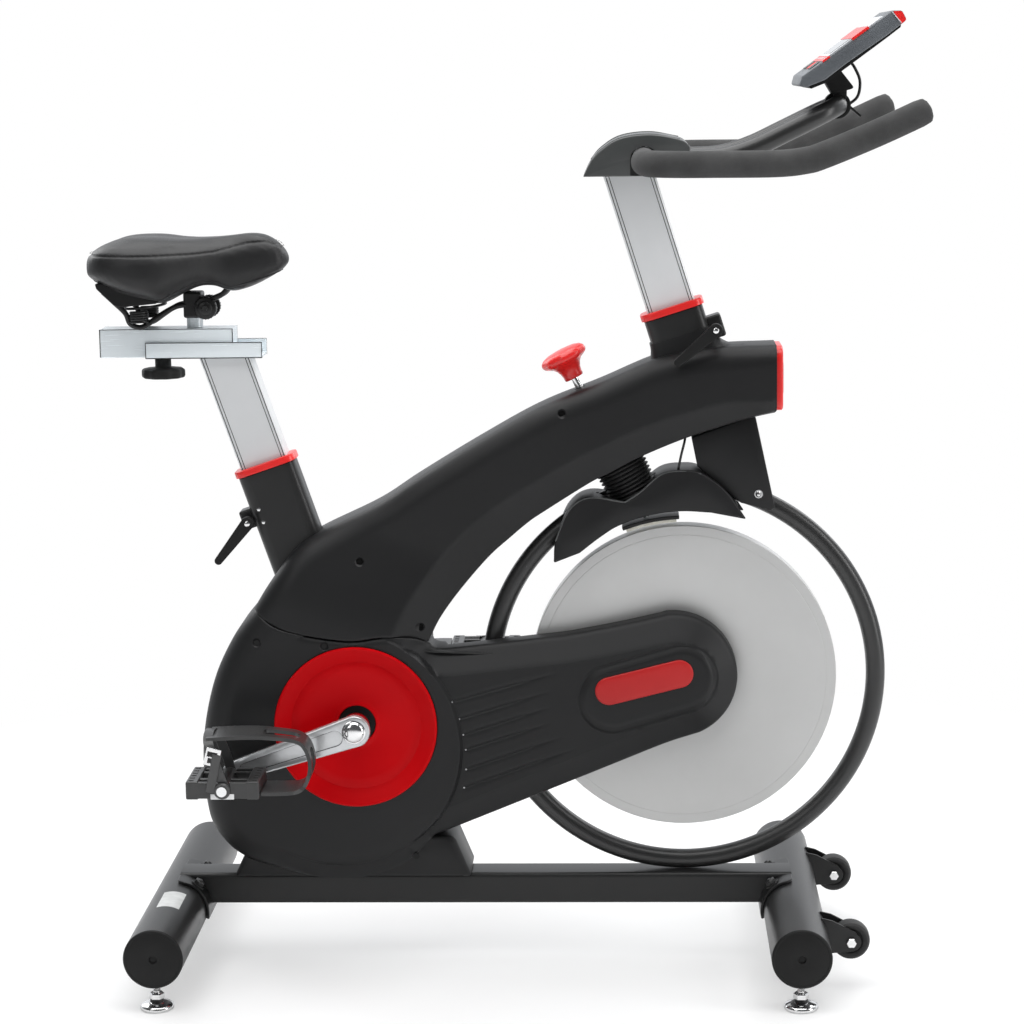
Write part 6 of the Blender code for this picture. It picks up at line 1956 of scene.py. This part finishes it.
def build_handlebar():
    build_post("handlebar_post", HEAD_ALLOY, HEAD_COLLAR, HEAD_TILT, -0.098, -0.090, 1.0330,
               "handlebar")
    top_plate = block((0.196, 0, 1.0370), (0.074, 0.060, 0.0080))
    bevelled(from_bm("post_top_plate", top_plate, STEEL, "handlebar"),
             0.0022, 3)
    core = list(reversed(bar_path(-1)))[1:] + bar_path(1)[1:-1]
    from_bm("handlebar", sweep(core, 0.0125, 28), TUBE_PAINT, "handlebar",
            ("handlebar",))
    half = [(0.194, 0.050, 1.054), (0.240, 0.050, 1.0545), (0.290, 0.050, 1.0560),
            (0.331, 0.050, 1.0675), (0.3724, 0.050, 1.0865), (0.416, 0.0465, 1.1075),
            (0.4365, 0.024, 1.1170)]
    loop = half + [(0.440, 0.0, 1.1185)] + [(x, -y, z) for x, y, z in reversed(half)]
    from_bm("aero_loop", sweep(smooth_path(loop, 9), 0.0125, 28), TUBE_PAINT, "handlebar")
    from_bm("bar_block", block((0.200, 0, 1.0480), (0.060, 0.062, 0.0280)), STEEL, "handlebar")
    for name, side in SIDES:
        path = [p for p in bar_path(side) if abs(p.y) > 0.0665]
        radii = [0.0150] + [0.0162] * (len(path) - 2) + [0.0152]
        from_bm("grip_" + name, sweep(path, radii, 36), FOAM, "handlebar",
                ("grip_" + name,), sharp=60)
    build_hood()
    build_bar_fittings()
    build_console()


def build_hood():
    """The arched cover over the middle of the bar."""
    top = [(0.117, 1.0345), (0.126, 1.052), (0.139, 1.067), (0.164, 1.082), (0.202, 1.0865),
           (0.239, 1.080), (0.252, 1.0715)]
    outline = joined(flat_path(top, 6), [(0.252, 1.0345)])
    hood = from_bm("handlebar_cover", slab(outline, -0.069, 0.069), HOOD, "handlebar",
                   ("handlebar_cover",))
    bevelled(hood, 0.0110, 6, 50)
    bake(hood)
    inner = [(0.134, 1.02), (0.150, 1.068), (0.170, 1.0775), (0.232, 1.0775), (0.262, 1.0705),
             (0.262, 1.02)]
    slots = [block((0.245, side * 0.050, 1.058), (0.050, 0.0270, 0.0270))
             for side in (-1, 1)]
    cut(hood, [slab(inner, -0.0645, 0.0645),
               rod(0.0175, -0.1, 0.1, (0.194, 0, BAR_Z), (0, 1, 0), 40),
               block((0.194, 0, 1.035), (0.035, 0.2, 0.04)), *slots])
    ridges = [sweep(smooth_path([(x, side * 0.0585, z + 0.0002) for x, z in top[1:6]], 8),
                    0.0008, 8) for side in (-1, 1)]
    from_bm("hood_edges", merged(*ridges), HOOD, "handlebar")


def build_bar_fittings():
    """Bright pulse plates on the bar beside the hood."""
    shell = [(0.0128, 0.0), (0.0135, 0.0005), (0.0135, 0.0150), (0.0128, 0.0155)]
    plates = [lathe(shell, (0.194, side * 0.0500, BAR_Z), (0, side, 0), 40, closed=True)
              for side in (-1, 1)]
    from_bm("bar_sleeves", merged(*plates), CHROME, "handlebar")


def build_console():
    base = Vector((0.390, 0, 1.1560))
    far = Vector((0.501, 0, 1.2350))
    outline = rounded([(0.3865, 1.1435, 0.004), (base.x, base.z, 0.004), (far.x, far.z, 0.002),
                       (0.513, 1.2350, 0.005), (0.5195, 1.2235, 0.005), (0.495, 1.2050, 0.006),
                       (0.445, 1.1710, 0.010), (0.419, 1.1515, 0.010), (0.396, 1.1425, 0.006)],
                      closed=True)
    shell = from_bm("console", slab(outline, -0.085, 0.085), SLATE, "handlebar",
                    ("console",))
    bevelled(shell, 0.0040, 4, 40)
    run = (far - base).normalized()
    normal = Vector((-run.z, 0, run.x))
    key = base + run * 0.022
    bake(shell)
    cut(shell, [lathe([(0, -0.0045), (0.0086, -0.0045), (0.0086, 0.012), (0, 0.012)], key,
                      normal, 48)])

    def panel(name, mat, start, end, half, high, radius, y=0.0):
        low_end = base + run * start
        length = end - start
        section = rounded([(0, -half, radius), (length, -half, radius), (length, half, radius),
                           (0, half, radius)], closed=True)
        plate = loft([[low_end + run * a + Vector((0, y + b, 0)) + normal * h
                       for a, b in section] for h in (high - 0.0020, high)])
        bevelled(from_bm(name, plate, mat, "handlebar"), 0.0003, 1)
    panel("console_face", PALE, 0.036, 0.124, 0.0775, 0.0010, 0.008)
    panel("console_screen", GLASS, 0.046, 0.104, 0.058, 0.0015, 0.003)
    panel("console_red_trim", RED, 0.0375, 0.0410, 0.070, 0.0014, 0.001)
    for index, y in enumerate((-0.056, -0.034, 0.034, 0.056)):
        panel("console_key_" + str(index), HOOD, 0.014, 0.030, 0.0075, 0.0012, 0.004, y=y)

    def face_block(start, end, low, high, half):
        corners = [base + run * a + normal * h
                   for a, h in ((start, low), (end, low), (end, high), (start, high))]
        return slab([(p.x, p.z) for p in corners], -half, half)
    from_bm("console_side_red", face_block(0.0762, 0.1010, -0.0012, 0.0020, 0.0857), RED,
            "handlebar")
    from_bm("console_side_dash", face_block(0.0311, 0.0417, -0.0016, 0.0006, 0.0855), RED,
            "handlebar")
    end = slab(rounded([(0.5020, 1.2343, 0.001), (0.5128, 1.2343, 0.003),
                        (0.5185, 1.2235, 0.002), (0.5120, 1.2185, 0.001)], closed=True),
               -0.0852, 0.0852)
    from_bm("console_end_trim", end, RED, "handlebar")
    lines = [edge_line((0.5010, y, 1.2330), (0.5120, y, 1.2200), 0.0006)
             for y in (-0.0854, 0.0854)]
    from_bm("console_line", merged(*lines), PALE, "handlebar")
    tray = rounded([(0.398, 1.1440, 0.002), (0.420, 1.1530, 0.004), (0.445, 1.1720, 0.006),
                    (0.494, 1.2060, 0.006), (0.513, 1.2190, 0.002), (0.512, 1.2145, 0.002),
                    (0.4955, 1.2020, 0.006), (0.4465, 1.1665, 0.008), (0.420, 1.1475, 0.006),
                    (0.402, 1.1405, 0.002)], closed=True)
    bevelled(from_bm("console_tray", slab(tray, -0.078, 0.078), CAP_BLACK, "handlebar"), 0.0025, 3, 40)
    bracket = block((0.4430, 0, 1.1330), (0.0170, 0.030, 0.0140))
    neck = slab(rounded([(0.4229, 1.1495, 0.001), (0.4421, 1.1640, 0.001), (0.4609, 1.1401, 0.003),
                         (0.4333, 1.1322, 0.003)], closed=True), -0.018, 0.018)
    bevelled(from_bm("console_bracket", bracket, CAP_BLACK, "handlebar"),
             0.0020, 3)
    bevelled(from_bm("console_neck", neck, CAP_BLACK, "handlebar"), 0.0015,
             3, 50)
    under = lathe([(0.0127, -0.0110), (0.0162, -0.0110), (0.0170, -0.0100), (0.0170, 0.0100),
                   (0.0162, 0.0110), (0.0127, 0.0110)], (0.4400, 0, 1.1185), (0, 1, 0), 48,
                  closed=True)
    from_bm("loop_clamp", under, CAP_BLACK, "handlebar")
    small_plate = block((0.4595, 0, 1.1136), (0.0279, 0.0160, 0.0030), -0.712)
    bevelled(from_bm("clamp_tab", small_plate, CAP_BLACK, "handlebar"), 0.0008,
             2)
    profile = [(0.0, 0.0014), (0.0066, 0.0012), (0.0078, 0.0004), (0.0080, -0.0020),
               (0.0, -0.0020)]
    from_bm("console_button", lathe(profile, key, normal, 48), RED, "console_button",
            ("console_button",))
    lead = [(0.4560, 0.012, 1.1755), (0.4640, 0.012, 1.1640), (0.4700, 0.012, 1.1480),
            (0.4670, 0.012, 1.1290), (0.4535, 0.012, 1.1175)]
    from_bm("console_wire", sweep(smooth_path(lead, 8), 0.0019, 14), RUBBER, "handlebar",
            ("console_wire",))


# ---------------------------------------------------------------- everything
build_camera()
build_studio()
build_upper_shells()
build_drive_covers()
build_red_parts()
build_sleeves()
build_base()
build_hoop()
build_flywheel()
build_cranks()
build_drive_inside()
build_brake()
build_seat()
build_lever("seat_lever", SEAT_COLLAR, SEAT_TILT, -0.0575, -0.045, 231.5, -0.0315)
build_lever("handlebar_lever", HEAD_COLLAR, HEAD_TILT, -0.034, 0.0455, 220, -0.0590)
build_handlebar()
